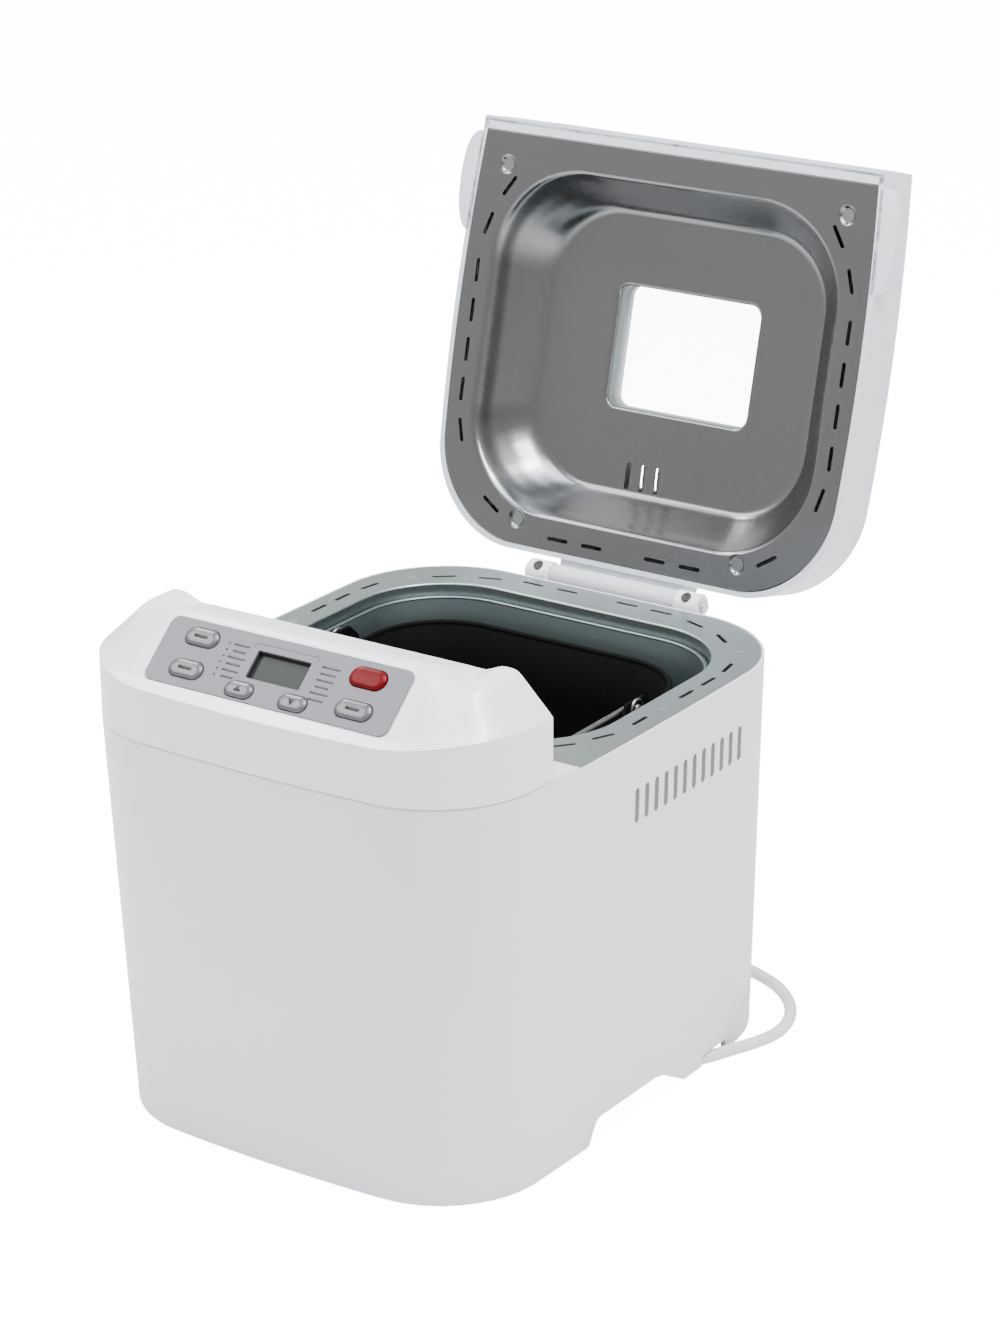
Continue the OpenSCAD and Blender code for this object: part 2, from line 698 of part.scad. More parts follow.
module control_panel() {
    color("silver") in_frame() on_panel() {
        difference() {
            union() {
                translate([0, 0, 0.05]) linear_extrude(0.6)
                    translate([0, panel_h / 2]) rounded_box_2d(panel_w / 2, panel_h / 2, 4.5);
                translate([0, 0, -2.4]) linear_extrude(2.6) tray_2d(0);
            }
            translate([0, 0, -5]) linear_extrude(10) panel_openings(key_gap);
        }
        // posts that carry the key board
        for (x = [-58.6, 58.6]) for (y = [4.6, panel_h - 4.6])
            translate([x, y, board_depth + 1.6]) cylinder(r = 2.2, h = -board_depth - 3.9, $fn = 32);
    }
}

module lcd_module() {
    color("slategray") in_frame() on_panel() {
        translate([lcd_c[0] - lcd_w / 2 - 3, lcd_c[1] - lcd_h / 2 - 1.6, -7.5])
            cube([lcd_w + 6, lcd_h + 3.2, 4]);
        translate([lcd_c[0] - lcd_w / 2 + 0.2, lcd_c[1] - lcd_h / 2 + 0.2, -4])
            cube([lcd_w - 0.4, lcd_h - 0.4, 4.3]);
    }
}

module panel_board() {
    color("darkgreen") in_frame() on_panel() {
        translate([-60, 0.5, board_depth]) cube([120, 31, 1.6]);
        for (k = keys) translate([k[0] - 3, k[1] - 3, board_depth + 1.6]) cube([6, 6, 3]);
    }
}

module key_cap(k) {
    in_frame() on_panel() translate([k[0], k[1], 0]) {
        translate([0, 0, -4.2]) linear_extrude(5.2) stadium_2d(k[2], k[3]);
        translate([0, 0, 1]) linear_extrude(0.7) stadium_2d(k[2] - 1.6, k[3] - 1.6);
        // foot that keeps the key in, below the console's wall
        translate([0, 0, -5.2]) linear_extrude(1.2) stadium_2d(k[2] + 2, k[3]);
    }
}

module key_menu() {
    color("silver") key_cap(menu_key);
}

module key_loaf() {
    color("silver") key_cap(loaf_key);
}

module key_up() {
    color("silver") key_cap(up_key);
}

module key_down() {
    color("silver") key_cap(down_key);
}

module key_start() {
    color("crimson") key_cap(start_key);
}

module key_crust() {
    color("silver") key_cap(crust_key);
}

// ---------------------------------------------------------------- hinge and lid
ear_x0 = 35.6;
ear_x1 = 49;
barrel_r = 5.4;

module hinge_bracket() {
    color("gainsboro") in_frame() {
        difference() {
            union() {
                for (m = [0, 1]) mirror([m, 0, 0]) x_prism(ear_x0, ear_x1) {
                    translate([hinge_y, hinge_z]) circle(r = barrel_r, $fn = 40);
                    polygon([[half_d + 0.05, 172], [141.5, 172], [hinge_y + 4.5, hinge_z - 3.2],
                        [hinge_y, hinge_z], [hinge_y - 5.35, hinge_z - 1], [half_d + 0.05, hinge_z - 4]]);
                }
                x_prism(-ear_x1, ear_x1)
                    polygon([[half_d + 0.05, 166], [141, 167], [141.6, 180], [half_d + 0.05, 181]]);
            }
            translate([-60, hinge_y, hinge_z]) rotate([0, 90, 0])
                cylinder(r = pin_r + 0.03, h = 120, $fn = 32);
        }
    }
}

module hinge_pin() {
    color("lightsteelblue") in_frame() translate([-50, hinge_y, hinge_z]) rotate([0, 90, 0]) {
        cylinder(r = pin_r, h = 100, $fn = 32);
        for (z = [-1, 99.8]) translate([0, 0, z]) cylinder(r = 3, h = 1.2, $fn = 32);
    }
}

// the lid is drawn shut and turned open about the hinge
module lid_open() {
    in_frame() translate([0, hinge_y, hinge_z]) rotate([-lid_swing, 0, 0])
        translate([0, -hinge_y, -hinge_z]) children();
}

lid_profile = [[0, 27], [1, 29], [17, lid_t - 1], [19, lid_t], [26, lid_t + 0.2], [31, lid_t - 0.8],
    [40, lid_t - 2.6], [60, lid_t - 3.2]];

function lid_height(x, y) =
    let (r = lid_r, qx = abs(x) - lid_side(y) + r, qy = y - lid_back + r)
    lookup(r - norm([max(qx, 0), max(qy, 0)]) - min(max(qx, qy), 0), lid_profile);

lid_turns = [0, 15, 30, 42, 48, 57, 66, 74, 82, 90];
lid_cols = concat([0, 19, 40, 52], [for (a = lid_turns) lid_hw - lid_r + lid_r * sin(a)]);
lid_rows = [0, 0.9, 2.7, 6, 10, 15, 18.5, 22, 28, 34, 41.5, 60, 100, 150, 207.1];

function lid_grid(e) =
    let (cols = concat([for (i = [len(lid_cols) - 1 : -1 : 1]) -lid_cols[i]], lid_cols))
    [for (s = lid_rows) [for (c = cols)
        let (q = abs(c) - lid_hw + lid_r,
             yr = lid_back - lid_r - e + (q > 0 ? sqrt(max(0, lid_r * lid_r - q * q)) : lid_r),
             y = lerp(yr, lid_front + e, s / 207.1),
             x = c * (lid_side(y) - e) / lid_hw)
        // a point e inside takes its height from nearer the rim, so that the skin keeps its thickness
        [x, y, lid_z + lid_height(abs(x) + 0.6 * e, y + (q > 0 ? 0.6 * e : 0)) - 1.25 * e]]];

// finger grip: half of a superellipse that swells out of the rim's side
grip_y = -35.5;
grip_l = 25;
grip_x = 111.6;
grip_h = 6.5;

module grip_2d() {
    bulge = [for (i = [-12 : 12]) let (t = sin(7.5 * i))
        [grip_x + grip_reach * pow(1 - pow(abs(t), 2.4), 1 / 2.4), grip_y + grip_l * t]];
    polygon(concat([[107, grip_y - grip_l]], bulge, [[107, grip_y + grip_l]]));
}

lid_screw_spots = [[94.8, -45.9], [-94.8, -45.9], [62.9, 124.2], [-62.9, 124.2]];
dimple_d = 2.6;

// three slots that let steam out behind the window
module steam_slots() {
    for (i = [0 : 2]) translate([-20 + 8.3 * i, 96.2, lid_z + 20])
        linear_extrude(40) rotate(90) slot_2d(13.4, 2.6);
}

module lid_shell() {
    color("whitesmoke") lid_open() {
        difference() {
            union() {
                field_solid(lid_grid(0), lid_z);
                for (m = [0, 1]) mirror([m, 0, 0]) translate([0, 0, lid_z]) linear_extrude(grip_h) grip_2d();
            }
            field_solid(lid_grid(wall), lid_z - 5);
            // rebate that takes the liner's edge
            translate([0, 0, lid_z - 4]) linear_extrude(5.4) polygon(liner_ring(-0.3));
            // window and steam slots through the top
            translate([0, 0, lid_z + 20]) window_block(0, 40);
            steam_slots();
        }
        // screw bosses under the top
        for (p = lid_screw_spots) translate([p[0], p[1], lid_z + 4.2]) difference() {
            cylinder(r = 4, h = 37, $fn = 24);
            translate([0, 0, -1]) cylinder(r = 1.7, h = 16, $fn = 20);
        }
    }
}

// slots of the liner: [x, y, turn from the Y axis]
liner_slots = [[92, -35.6, -33], [101.5, -16.1, -18], [104.5, 7.4, 0], [104.5, 27.1, 0], [104.5, 46.6, 0],
    [104.5, 66.4, 0], [102, 86.4, 15], [78.7, 119.7, 57], [37.7, 130.4, 90], [18, 130.4, 90]];
dish_top = [97.5, 84.2, 48];
dish_floor = [74.6, 67, 35];
dish_y = 36.7;
dish_steps = [[0, 0], [0.06, 0.02], [0.13, 0.1], [0.24, 0.3], [0.5, 0.62], [0.74, 0.86],
    [0.88, 0.96], [1, 1]];

function dish_ring(s, e) =
    let (k = [for (i = [0 : 2]) lerp(dish_top[i], dish_floor[i], s[0])])
    at_height(box_ring(k[0] + e, k[1] + e, k[2] + e, 8, dish_y), lid_z + 0.2 + s[1] * dish_depth);

module lid_liner() {
    t = 0.9;
    color("silver") lid_open() difference() {
        union() {
            translate([0, 0, lid_z + 0.2]) linear_extrude(t) polygon(liner_ring(0));
            loft([for (s = dish_steps) dish_ring([s[0], s[1] + t / dish_depth], t * 0.8)]);
            for (p = lid_screw_spots) translate([p[0], p[1], lid_z + 0.2])
                cylinder(r1 = 6.4, r2 = 4.6, h = dimple_d + t, $fn = 24);
        }
        loft(concat([[for (p = dish_ring([0, 0], 0)) [p[0], p[1], lid_z - 3]]],
            [for (s = dish_steps) dish_ring(s, 0)]));
        for (p = lid_screw_spots) translate([p[0], p[1], lid_z]) {
            translate([0, 0, -0.5]) cylinder(r1 = 6, r2 = 3.9, h = dimple_d + 0.7, $fn = 24);
            cylinder(r = 2, h = 9, $fn = 20);
        }
        for (s = liner_slots) for (m = [0, 1]) mirror([m, 0, 0])
            translate([s[0], s[1], lid_z - 1]) linear_extrude(4) rotate(90 + s[2]) slot_2d(11.8, 1.9);
        translate([0, 0, lid_z + 20]) window_block(0, 20);
        steam_slots();
    }
}

module lid_screws() {
    color("lightgray") lid_open() for (p = lid_screw_spots) translate([p[0], p[1], lid_z + dimple_d + 0.2]) {
        translate([0, 0, -1.4]) cylinder(r = 3.4, h = 1.4, $fn = 32);
        cylinder(r = 1.6, h = 12, $fn = 24);
    }
}

// barrel on an arm that stands off the lid's rear wall
module lid_knuckle() {
    color("gainsboro") lid_open() difference() {
        x_prism(-ear_x0 + 0.4, ear_x0 - 0.4) {
            translate([hinge_y, hinge_z]) circle(r = barrel_r - 0.2, $fn = 40);
            polygon([[half_d + 0.05, lid_z + 1.5], [hinge_y - 3.6, hinge_z + 3.4],
                [hinge_y + 3.6, hinge_z + 3.4], [half_d + 4.6, lid_z + 15], [half_d + 0.05, lid_z + 16]]);
        }
        translate([-60, hinge_y, hinge_z]) rotate([0, 90, 0])
            cylinder(r = pin_r + 0.08, h = 120, $fn = 32);
    }
}

glass_z = lid_z + 0.2 + dish_depth + 1.1;

// prism of height h on the window's outline grown by e
module window_block(e, h) {
    translate([window_c[0], window_c[1], 0]) linear_extrude(h)
        rounded_box_2d(window_hw + e, window_hd + e, 6 + e);
}

module window_glass() {
    color("lightcyan", 0.4) lid_open() translate([0, 0, glass_z]) window_block(4, 3);
}

module window_frame() {
    color("whitesmoke") lid_open() difference() {
        translate([0, 0, glass_z + 3.1]) window_block(3, 5.3);
        translate([0, 0, glass_z]) window_block(0.6, 20);
    }
}

module window_cover() {
    color("lightcyan", 0.4) lid_open() translate([0, 0, lid_z + lid_t - 8.1]) window_block(2.4, 1.6);
}

// ---------------------------------------------------------------- pan
pan_levels = [[0, -15, 26], [1.2, -12.4, 28], [4, -10.6, 30], [8, -9.6, 32], [115, -2.2, 38]];

function pan_ring(lv, e, z) =
    at_height(box_ring(pan_hw + lv[1] + e, pan_hd + lv[1] + e, lv[2] + e, 8, oven_y), z);

module bread_pan() {
    color("dimgray") in_frame() difference() {
        union() {
            loft([for (lv = pan_levels) pan_ring(lv, 0, pan_floor + lv[0])]);
            translate([0, oven_y, pan_floor + 114]) linear_extrude(1.2)
                rounded_box_2d(pan_hw - 0.6, pan_hd - 0.6, 39.4);
        }
        loft(concat([for (lv = pan_levels) pan_ring(lv, -pan_t, pan_floor + pan_t + lv[0])],
            [pan_ring([0, -2, 38], -pan_t, pan_top + 9)]));
        translate([0, oven_y, pan_floor - 2]) cylinder(r = 8, h = 8, $fn = 40);
    }
}

module pan_rim_wire() {
    color("dimgray") in_frame() translate([0, oven_y, pan_floor + 115.3]) difference() {
        linear_extrude(1.6) rounded_box_2d(pan_hw, pan_hd, 40);
        translate([0, 0, -1]) linear_extrude(4) rounded_box_2d(pan_hw - 3, pan_hd - 3, 37);
    }
}

module pan_ears() {
    color("gray") in_frame() for (m = [0, 1]) mirror([m, 0, 0]) difference() {
        union() {
            x_prism(pan_hw + 0.5, pan_hw + 2.1)
                polygon([[22, 164], [48, 164], [49, 180], [42, 186.5], [28, 186.5], [23, 178]]);
            translate([pan_hw - 2.8, 25, 163]) cube([4.8, 20, 3]);
        }
        translate([60, oven_y, bail_z]) rotate([0, 90, 0]) cylinder(r = bail_d / 2 + 0.06, h = 40, $fn = 32);
    }
}

module pan_bail() {
    r = bail_d / 2;
    bend = 18;
    color("lightgray") in_frame() translate([0, oven_y, bail_z]) {
        for (s = [-1, 1]) {
            // pivot stub with its riveted end, leg, corner
            rod([s * leg_x, 0, 0], [s * (pan_hw + 3.6), 0, 0], r);
            rod([s * (pan_hw + 2.4), 0, 0], [s * (pan_hw + 3.9), 0, 0], r + 0.9);
            translate([s * leg_x, 0, 0]) sphere(r = r, $fn = 24);
            rod([s * leg_x, 0, 0], [s * leg_x, -bail_reach + bend, 0], r);
            translate([s * (leg_x - bend), -bail_reach + bend, 0]) rotate(s > 0 ? -90 : 180)
                rotate_extrude(angle = 90, $fn = 64) translate([bend, 0]) circle(r = r, $fn = 24);
        }
        rod([-leg_x + bend, -bail_reach, 0], [leg_x - bend, -bail_reach, 0], r);
    }
}

module pan_base_ring() {
    color("silver") in_frame() translate([0, oven_y, 0]) difference() {
        union() {
            translate([0, 0, 43.4]) cylinder(r = 36.6, h = pan_floor - 43.5, $fn = 72);
            translate([0, 0, pan_floor - 3]) cylinder(r = 44, h = 2.9, $fn = 72);
        }
        translate([0, 0, 40]) cylinder(r = 33.6, h = pan_floor - 43, $fn = 72);
        translate([0, 0, 40]) cylinder(r = 12.2, h = 40, $fn = 48);
    }
}

module pan_bush() {
    color("silver") in_frame() translate([0, oven_y, 0]) difference() {
        union() {
            translate([0, 0, 54.6]) cylinder(r = 12, h = pan_floor - 54.7, $fn = 48);
            translate([0, 0, 55]) cylinder(r = 7.9, h = 11.5, $fn = 40);
        }
        translate([0, 0, 50]) cylinder(r = shaft_r + 0.05, h = 30, $fn = 48);
    }
}

shaft_top = 86;
flat_x = 3;

module kneader_shaft() {
    color("lightsteelblue") in_frame() translate([0, oven_y, 0]) {
        difference() {
            translate([0, 0, 48.4]) cylinder(r = shaft_r, h = shaft_top - 48.4, $fn = 48);
            translate([flat_x, -6, 66.8]) cube([6, 12, 30]);
        }
        // wing that the drive's jaws push
        translate([-13.5, -4, 48.4]) cube([27, 8, 4.6]);
    }
}

module kneading_paddle() {
    color("dimgray") in_frame() translate([0, oven_y, 0]) {
        difference() {
            union() {
                translate([0, 0, 67.2]) cylinder(r1 = 9.6, r2 = 8, h = 20, $fn = 48);
                // fin, swept to one side
                intersection() {
                    translate([0, 0, 67.2]) linear_extrude(24) polygon([[0, -6], [14, -5.5], [30, 0], [36, 7],
                        [34, 8.6], [28, 4.6], [13, 0.5], [0, 4]]);
                    rotate([90, 0, 0]) linear_extrude(40, center = true) polygon([[0, 67], [37, 67], [37, 72],
                        [33, 79], [22, 86], [6, 90], [0, 90]]);
                }
            }
            difference() {
                translate([0, 0, 60]) cylinder(r = shaft_r + 0.06, h = 40, $fn = 48);
                translate([flat_x + 0.06, -6, 60]) cube([6, 12, 40]);
            }
        }
    }
}

// ---------------------------------------------------------------- cord
cord_dir = atan2(cord_route[1][1] - cord_route[0][1], cord_route[1][0] - cord_route[0][0]);

// tapered sleeve round the cord where it leaves the saddle
module strain_relief() {
    color("darkslategray") translate(cord_route[0]) rotate([0, 90, cord_dir]) difference() {
        union() {
            translate([0, 0, -3]) cylinder(r = 4.6, h = 5, $fn = 32);
            cylinder(r1 = 4.4, r2 = 3.7, h = 24, $fn = 32);
        }
        translate([0, 0, -4]) cylinder(r = cord_r + 0.02, h = 30, $fn = 32);
    }
}

// tube with flat ends along a list of points
module tube_along(path, r, sides) {
    n = len(path);
    function tangent(i) =
        let (a = path[max(0, i - 1)], b = path[min(n - 1, i + 1)]) (b - a) / norm(b - a);
    function spoke(t, a) =
        let (u = cross([0, 0, 1], t) / norm(cross([0, 0, 1], t))) cos(a) * u + sin(a) * cross(t, u);
    rings = [for (i = [0 : n - 1]) let (t = tangent(i))
        [for (k = [0 : sides - 1]) path[i] + r * spoke(t, k * 360 / sides)]];
    polyhedron(
        points = [for (g = rings) each g],
        faces = concat([[for (k = [sides - 1 : -1 : 0]) k]],
            [for (i = [0 : n - 2]) for (k = [0 : sides - 1]) let (l = (k + 1) % sides)
                each [[i * sides + k, i * sides + l, (i + 1) * sides + l],
                    [i * sides + k, (i + 1) * sides + l, (i + 1) * sides + k]]],
            [[for (k = [0 : sides - 1]) (n - 1) * sides + k]]));
}

module power_cord() {
    color("whitesmoke") {
        tube_along(cord_route, cord_r, 10);
        tube_along(cord_tail, cord_r, 10);
    }
}

module cord_coil() {
    color("whitesmoke") translate([coil_c[0], coil_c[1], 0]) rotate_extrude($fn = 72)
        translate([coil_r - 1.5 * cord_d, 0]) square([2 * cord_d, 2 * cord_d - 0.6]);
}

plug_x = -58;
plug_y = coil_c[1] - coil_r;

// two-pin moulded plug lying on its side
module power_plug() {
    color("whitesmoke") translate([plug_x, plug_y, 18.6]) rotate([0, -90, 0]) {
        translate([-9.6, 0, 0]) cylinder(r1 = 3.6, r2 = 5, h = 14, $fn = 32);
        translate([-6, 0, 12]) cylinder(r1 = 9, r2 = 12, h = 8, $fn = 40);
        translate([0, 0, 18]) cylinder(r = 18.5, h = 22, $fn = 64);
        for (s = [-1, 1]) translate([0, s * 9.5, 40]) cylinder(r = 2.4, h = 19, $fn = 24);
    }
}

housing();
base_plate();
rubber_feet();
deck_plate();
deck_screws();
oven_tub();
heating_element();
heater_clips();
temperature_probe();
pan_socket();
bearing_housing();
shaft_bush();
drive_shaft();
drive_coupling();
drive_pulley();
drive_belt();
motor_pulley();
motor();
motor_coils();
motor_plate();
run_capacitor();
power_board();
panel_board();
console_cover();
control_panel();
lcd_module();
key_menu();
key_loaf();
key_up();
key_down();
key_start();
key_crust();
hinge_bracket();
hinge_pin();
lid_shell();
lid_liner();
lid_screws();
lid_knuckle();
window_glass();
window_frame();
window_cover();
bread_pan();
pan_rim_wire();
pan_ears();
pan_bail();
pan_base_ring();
pan_bush();
kneader_shaft();
kneading_paddle();
strain_relief();
power_cord();
cord_coil();
power_plug();
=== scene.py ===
import json
import math

import bmesh
import bpy
import numpy as np
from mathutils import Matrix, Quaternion, Vector


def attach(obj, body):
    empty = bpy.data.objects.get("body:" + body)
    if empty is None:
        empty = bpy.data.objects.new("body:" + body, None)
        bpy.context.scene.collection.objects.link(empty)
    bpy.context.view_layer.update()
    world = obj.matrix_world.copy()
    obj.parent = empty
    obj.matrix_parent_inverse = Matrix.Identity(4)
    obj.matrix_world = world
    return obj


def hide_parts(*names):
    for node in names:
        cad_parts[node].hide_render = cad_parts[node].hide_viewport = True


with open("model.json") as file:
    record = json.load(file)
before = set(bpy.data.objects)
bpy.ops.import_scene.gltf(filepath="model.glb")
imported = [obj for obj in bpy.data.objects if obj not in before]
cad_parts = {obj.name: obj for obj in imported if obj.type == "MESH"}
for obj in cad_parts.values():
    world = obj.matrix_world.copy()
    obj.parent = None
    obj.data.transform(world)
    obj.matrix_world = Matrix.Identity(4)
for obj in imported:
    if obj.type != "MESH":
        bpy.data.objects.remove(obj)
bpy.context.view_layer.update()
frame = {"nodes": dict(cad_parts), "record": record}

# ---- sizes
# Millimetres, measured from the middle of the housing: x right, y back, z up.
FRAME_Y = 53.4
HALF_W = 113.0
HALF_D = 139.0
DECK_Z = 190.0
LEDGE_Z = DECK_Z + 1.7
LEDGE_Y = -55.0
SIDE_DRAFT = 5.2
FRONT_DRAFT = 7.5
FRONT_BULGE = 6.4
SIDE_BULGE = 2.85
WIDEST_Y = 24.0
FRONT_R = 52.0
REAR_R = 56.0
WALL = 2.5
RIM = 1.3
# the ledge inside the rim, under the deck: how far in it reaches, and its underside
SHELF_IN = 6.8
SHELF_Z = 186.5
VENT_COUNT = 12
VENT_PITCH = 7.9
VENT_CENTRE = (34.5, 157.5)
VENT_SIZE = (16.6, 3.5)
# half length and half height, and the depths of its faces under the wall's outside
BAFFLE = (52, 11, 0.15, 1.8)
ARCH = ((-42, -1), (-35.9, 10), (-34.9, 11.9), (-33.3, 13.1), (-31, 13.5), (14, 13.5), (17, 13.2),
        (20, 12.3), (44, -1))
CORD_NOTCH = ((90, 55, -1), (130, 76, 7))
UPSTAND = ((97.4, 54, 1.5), (99, 80, 14))

CONSOLE_BACK = -73.5
CONSOLE_Z = LEDGE_Z + 0.4
PANEL_Y = -130.2
PANEL_Z = 219.4
PANEL_TILT = 41.5
PANEL_W = 130.0
PANEL_H = 32.6
CONSOLE_SOFT = 1.4
# how far in from the side its section starts to turn into the front one, and over what width
CONSOLE_BLEND = (36, 16)
CORNER_X = 66.0
CORNER_Y = -87.0
SIDE_TOP = HALF_W - 1.6
CORNER_START = SIDE_TOP - FRONT_R - 0.4
FRONT_PROFILE = ((0, 216.6), (8.9, PANEL_Z), (33.4, 241.1), (36, 242.4), (39, 242.6), (43, 242.2),
                 (50, 239.9), (58, 236.9), (65.6, 234.7))
SIDE_PROFILE = ((0, 219.6), (1.5, 221.4), (20, 237.2), (22, 238), (29, 238.2), (33, 237),
                (39, 234.6), (53, 234.4))

OVEN_Y = 34.75
# rounded rectangles: half width, half depth, corner radius
HOLE = (93.5, 80.5, 46.0)
TUB = (91.3, 78.3, 44.0)
TUB_LIP_Z = 183.6
DECK_GAP = 1.7
DECK_FRONT_X = 104.5
DECK_SLOT = (12, 2)
DECK_SLOTS = ((101, 84.5, 10), (102.8, 64.7, 0), (102.8, 46, 0), (102.6, 7.5, 0), (99.3, -17, -24),
              (90.2, -35, -40), (79, 115.3, 52), (58.4, 125, 70), (36.5, 130, 90), (17, 130.4, 90))
DECK_SCREWS = ((103, 27), (-103, 27), (93.5, 107.5), (-93.5, 107.5))

PAN = (81.0, 63.5)
PAN_FLOOR = 62.0
PAN_WALL = 1.2
PAN_RIM_H = 115.4
RIM_R = 1.3
# height, outward growth and corner radius of the pan's wall
PAN_LEVELS = ((0, -15, 26), (1.2, -12.4, 28), (4, -10.6, 30), (8, -9.6, 32), (115, -2.2, 38))

BAIL_Z = 182.5
BAIL_LEG = 79.5
BAIL_REACH = 67.0
BAIL_BEND = 18.0
BAIL_R = 1.45
EYE_X = 83.6
EYE_R = 4.2
BEAD_R = 0.8

HINGE_Y = 146.8
HINGE_Z = DECK_Z + 0.1
LID_SWING = 104.2
EAR_X = (35.6, 49)
EAR_SCREW_X = 42.3
EAR_SCREW_LEAN = 128
LID_Z = DECK_Z + 2.1
LID_T = 46.0
LID_HW = HALF_W + 2.2
LID_R = 47.0
LID_BACK = HALF_D
LID_FRONT = -68.1
LINER_FRONT = -61.6
LIP_HW = 111.4
# how far a side bows out, where it is widest and half its length
LID_BOW = (4.2, 30, 98)
LINER_BOW = (2.96, 58.4, 120.4)
LINER_GAP = 1.9
LID_PROFILE = ((0, 27), (1, 29), (17, LID_T - 1), (19, LID_T), (26, LID_T + 0.2), (31, LID_T - 0.8),
               (40, LID_T - 2.6), (60, LID_T - 3.2))
LID_SCREWS = ((94.8, -45.9), (-94.8, -45.9), (62.9, 124.2), (-62.9, 124.2))
LINER_SLOTS = ((92, -35.6, -33), (101.5, -16.1, -18), (104.5, 7.4, 0), (104.5, 27.1, 0),
               (104.5, 46.6, 0), (104.5, 66.4, 0), (102, 86.4, 15), (78.7, 119.7, 57),
               (37.7, 130.4, 90), (18, 130.4, 90))
LINER_SLOT = (11.8, 1.9)
LINER_WALL = 0.6
DIMPLE_R = 5.2
DISH_Y = 36.7
DISH_TOP = (97.5, 84.2, 48.0)
DISH_FLOOR = (74.6, 67.0, 35.0)
DISH_DEPTH = 28.0
DISH_STEPS = ((0, 0), (0.06, 0.02), (0.13, 0.1), (0.24, 0.3), (0.5, 0.62), (0.74, 0.86), (0.88, 0.96),
              (1, 1))
WINDOW = (40.0, 29.8, 6.0)
WINDOW_C = (1.2, 33.9)
GLASS_Z = LID_Z + 29.3
COVER_Z = LID_Z + LID_T - 8.1
STEAM_SLOTS = tuple((-20 + 8.3 * i, 96.2) for i in range(3))
STEAM_SLOT = (13.4, 2.6)
GRIP_Y = -35.5
GRIP_L = 25.0
GRIP_X = 111.6
GRIP_ROOT = 108.0
GRIP_REACH = 10.0
GRIP_SQUARENESS = 2.4

# keys: x, distance up the panel, width, height
KEYS = {"menu": (-45, 24.6, 17.6, 8.6), "loaf": (-45, 8.6, 17.6, 8.6), "up": (-14.3, 5.2, 14.6, 7.6),
        "down": (14.3, 5.2, 14.6, 7.6), "start": (44, 24.4, 18.6, 9.6), "crust": (44.5, 8.8, 18.6, 8.6)}
LCD_C = (-0.4, 18.4)
LCD = (14.3, 6.9, 0.8)

# the cord, in metres in the frame
CORD_D = 0.006
CORD_STEP = 0.004
CORD_ROUTE = ((.088, -.034, .0055), (.092, -.025, .0054), (.097, -.013, .0048), (.102, -.001, .0038),
              (.107, .011, .0031), (.112, .023, .003), (.117, .035, .003), (.120, .047, .003),
              (.119, .060, .003), (.113, .074, .003), (.103, .086, .003), (.090, .095, .003),
              (.074, .101, .003), (.057, .105, .003), (.039, .108, .003), (.021, .110, .003),
              (.004, .110, .003))
CORD_TAIL = ((-.025, .110, .009), (-.037, .110, .009), (-.049, .110, .009), (-.062, .110, .009))
PLUG_PINS = ((-0.0979, -0.11705), (0.1005, 0.1195), 0.0186)
PIN_R = 0.00245
COIL_C = (-.015, .146)
COIL_R = 0.036


# ---- arithmetic
def to_frame(points):
    """Millimetres from the middle of the housing to metres in the frame."""
    return (np.asarray(points, float) - (0, FRAME_Y, 0)) / 1000


def tipped(points, degrees, y0, z0):
    """Points turned about X, then moved back by y0 and up by z0: y cos - z sin and y sin + z cos."""
    p = np.asarray(points, float)
    a = math.radians(degrees)
    y = p[..., 1] * math.cos(a) - p[..., 2] * math.sin(a) + y0
    z = p[..., 1] * math.sin(a) + p[..., 2] * math.cos(a) + z0
    return np.stack([p[..., 0], y, z], -1)


def panel_frame(points):
    """Panel points (across, up the slope, off the face) to metres in the frame: a tilt about X."""
    return to_frame(tipped(points, PANEL_TILT, PANEL_Y, PANEL_Z))


def open_frame(points):
    """Points of the shut lid to metres in the frame, with the lid turned open about its hinge."""
    from_hinge = np.asarray(points, float) - (0, HINGE_Y, HINGE_Z)
    return to_frame(tipped(from_hinge, -LID_SWING, HINGE_Y, HINGE_Z))


def ease(t):
    """0 to 1 along 3t^2 - 2t^3, level at both ends."""
    t = np.clip(t, 0, 1)
    return t * t * (3 - 2 * t)


def soft_lookup(d, profile, soft):
    """A profile of straight runs read at d, averaged over 2 * soft, which rounds its corners."""
    x, z = np.array(profile, float).T
    shifts = np.linspace(-soft, soft, 9)
    return np.mean([np.interp(np.asarray(d) + s, x, z) for s in shifts], 0)


def arc(centre, r, a0, a1, n):
    """n + 1 points on a circle about centre from angle a0 to a1, in degrees."""
    a = np.radians(np.linspace(a0, a1, n + 1))
    return np.stack([centre[0] + r * np.cos(a), centre[1] + r * np.sin(a)], -1)


def circle(centre, r, n):
    """n points round a full circle."""
    return arc(centre, r, 0, 360, n)[:-1]


def around(n):
    """n equal steps of a full turn, in radians."""
    return np.linspace(0, 2 * np.pi, n + 1)[:-1]


def box_ring(hw, hd, r, n=24, centre=(0, OVEN_Y)):
    """A rounded rectangle, counter-clockwise from its front right corner: four quarter arcs."""
    cx, cy = hw - r, hd - r
    turns = ((cx, -cy, -90), (cx, cy, 0), (-cx, cy, 90), (-cx, -cy, 180))
    return np.concatenate([arc((centre[0] + x, centre[1] + y), r, a, a + 90, n) for x, y, a in turns])


def grown_box(box, e, n=24, centre=(0, OVEN_Y)):
    """A rounded rectangle with its half width, half depth and corner radius all grown by e."""
    return box_ring(*(size + e for size in box), n, centre)


def stadium(length, width, n=12):
    """A slot outline about the origin along x: two half circles joined by straight sides."""
    c = (length - width) / 2
    return np.concatenate([arc((c, 0), width / 2, -90, 90, n), arc((-c, 0), width / 2, 90, 270, n)])


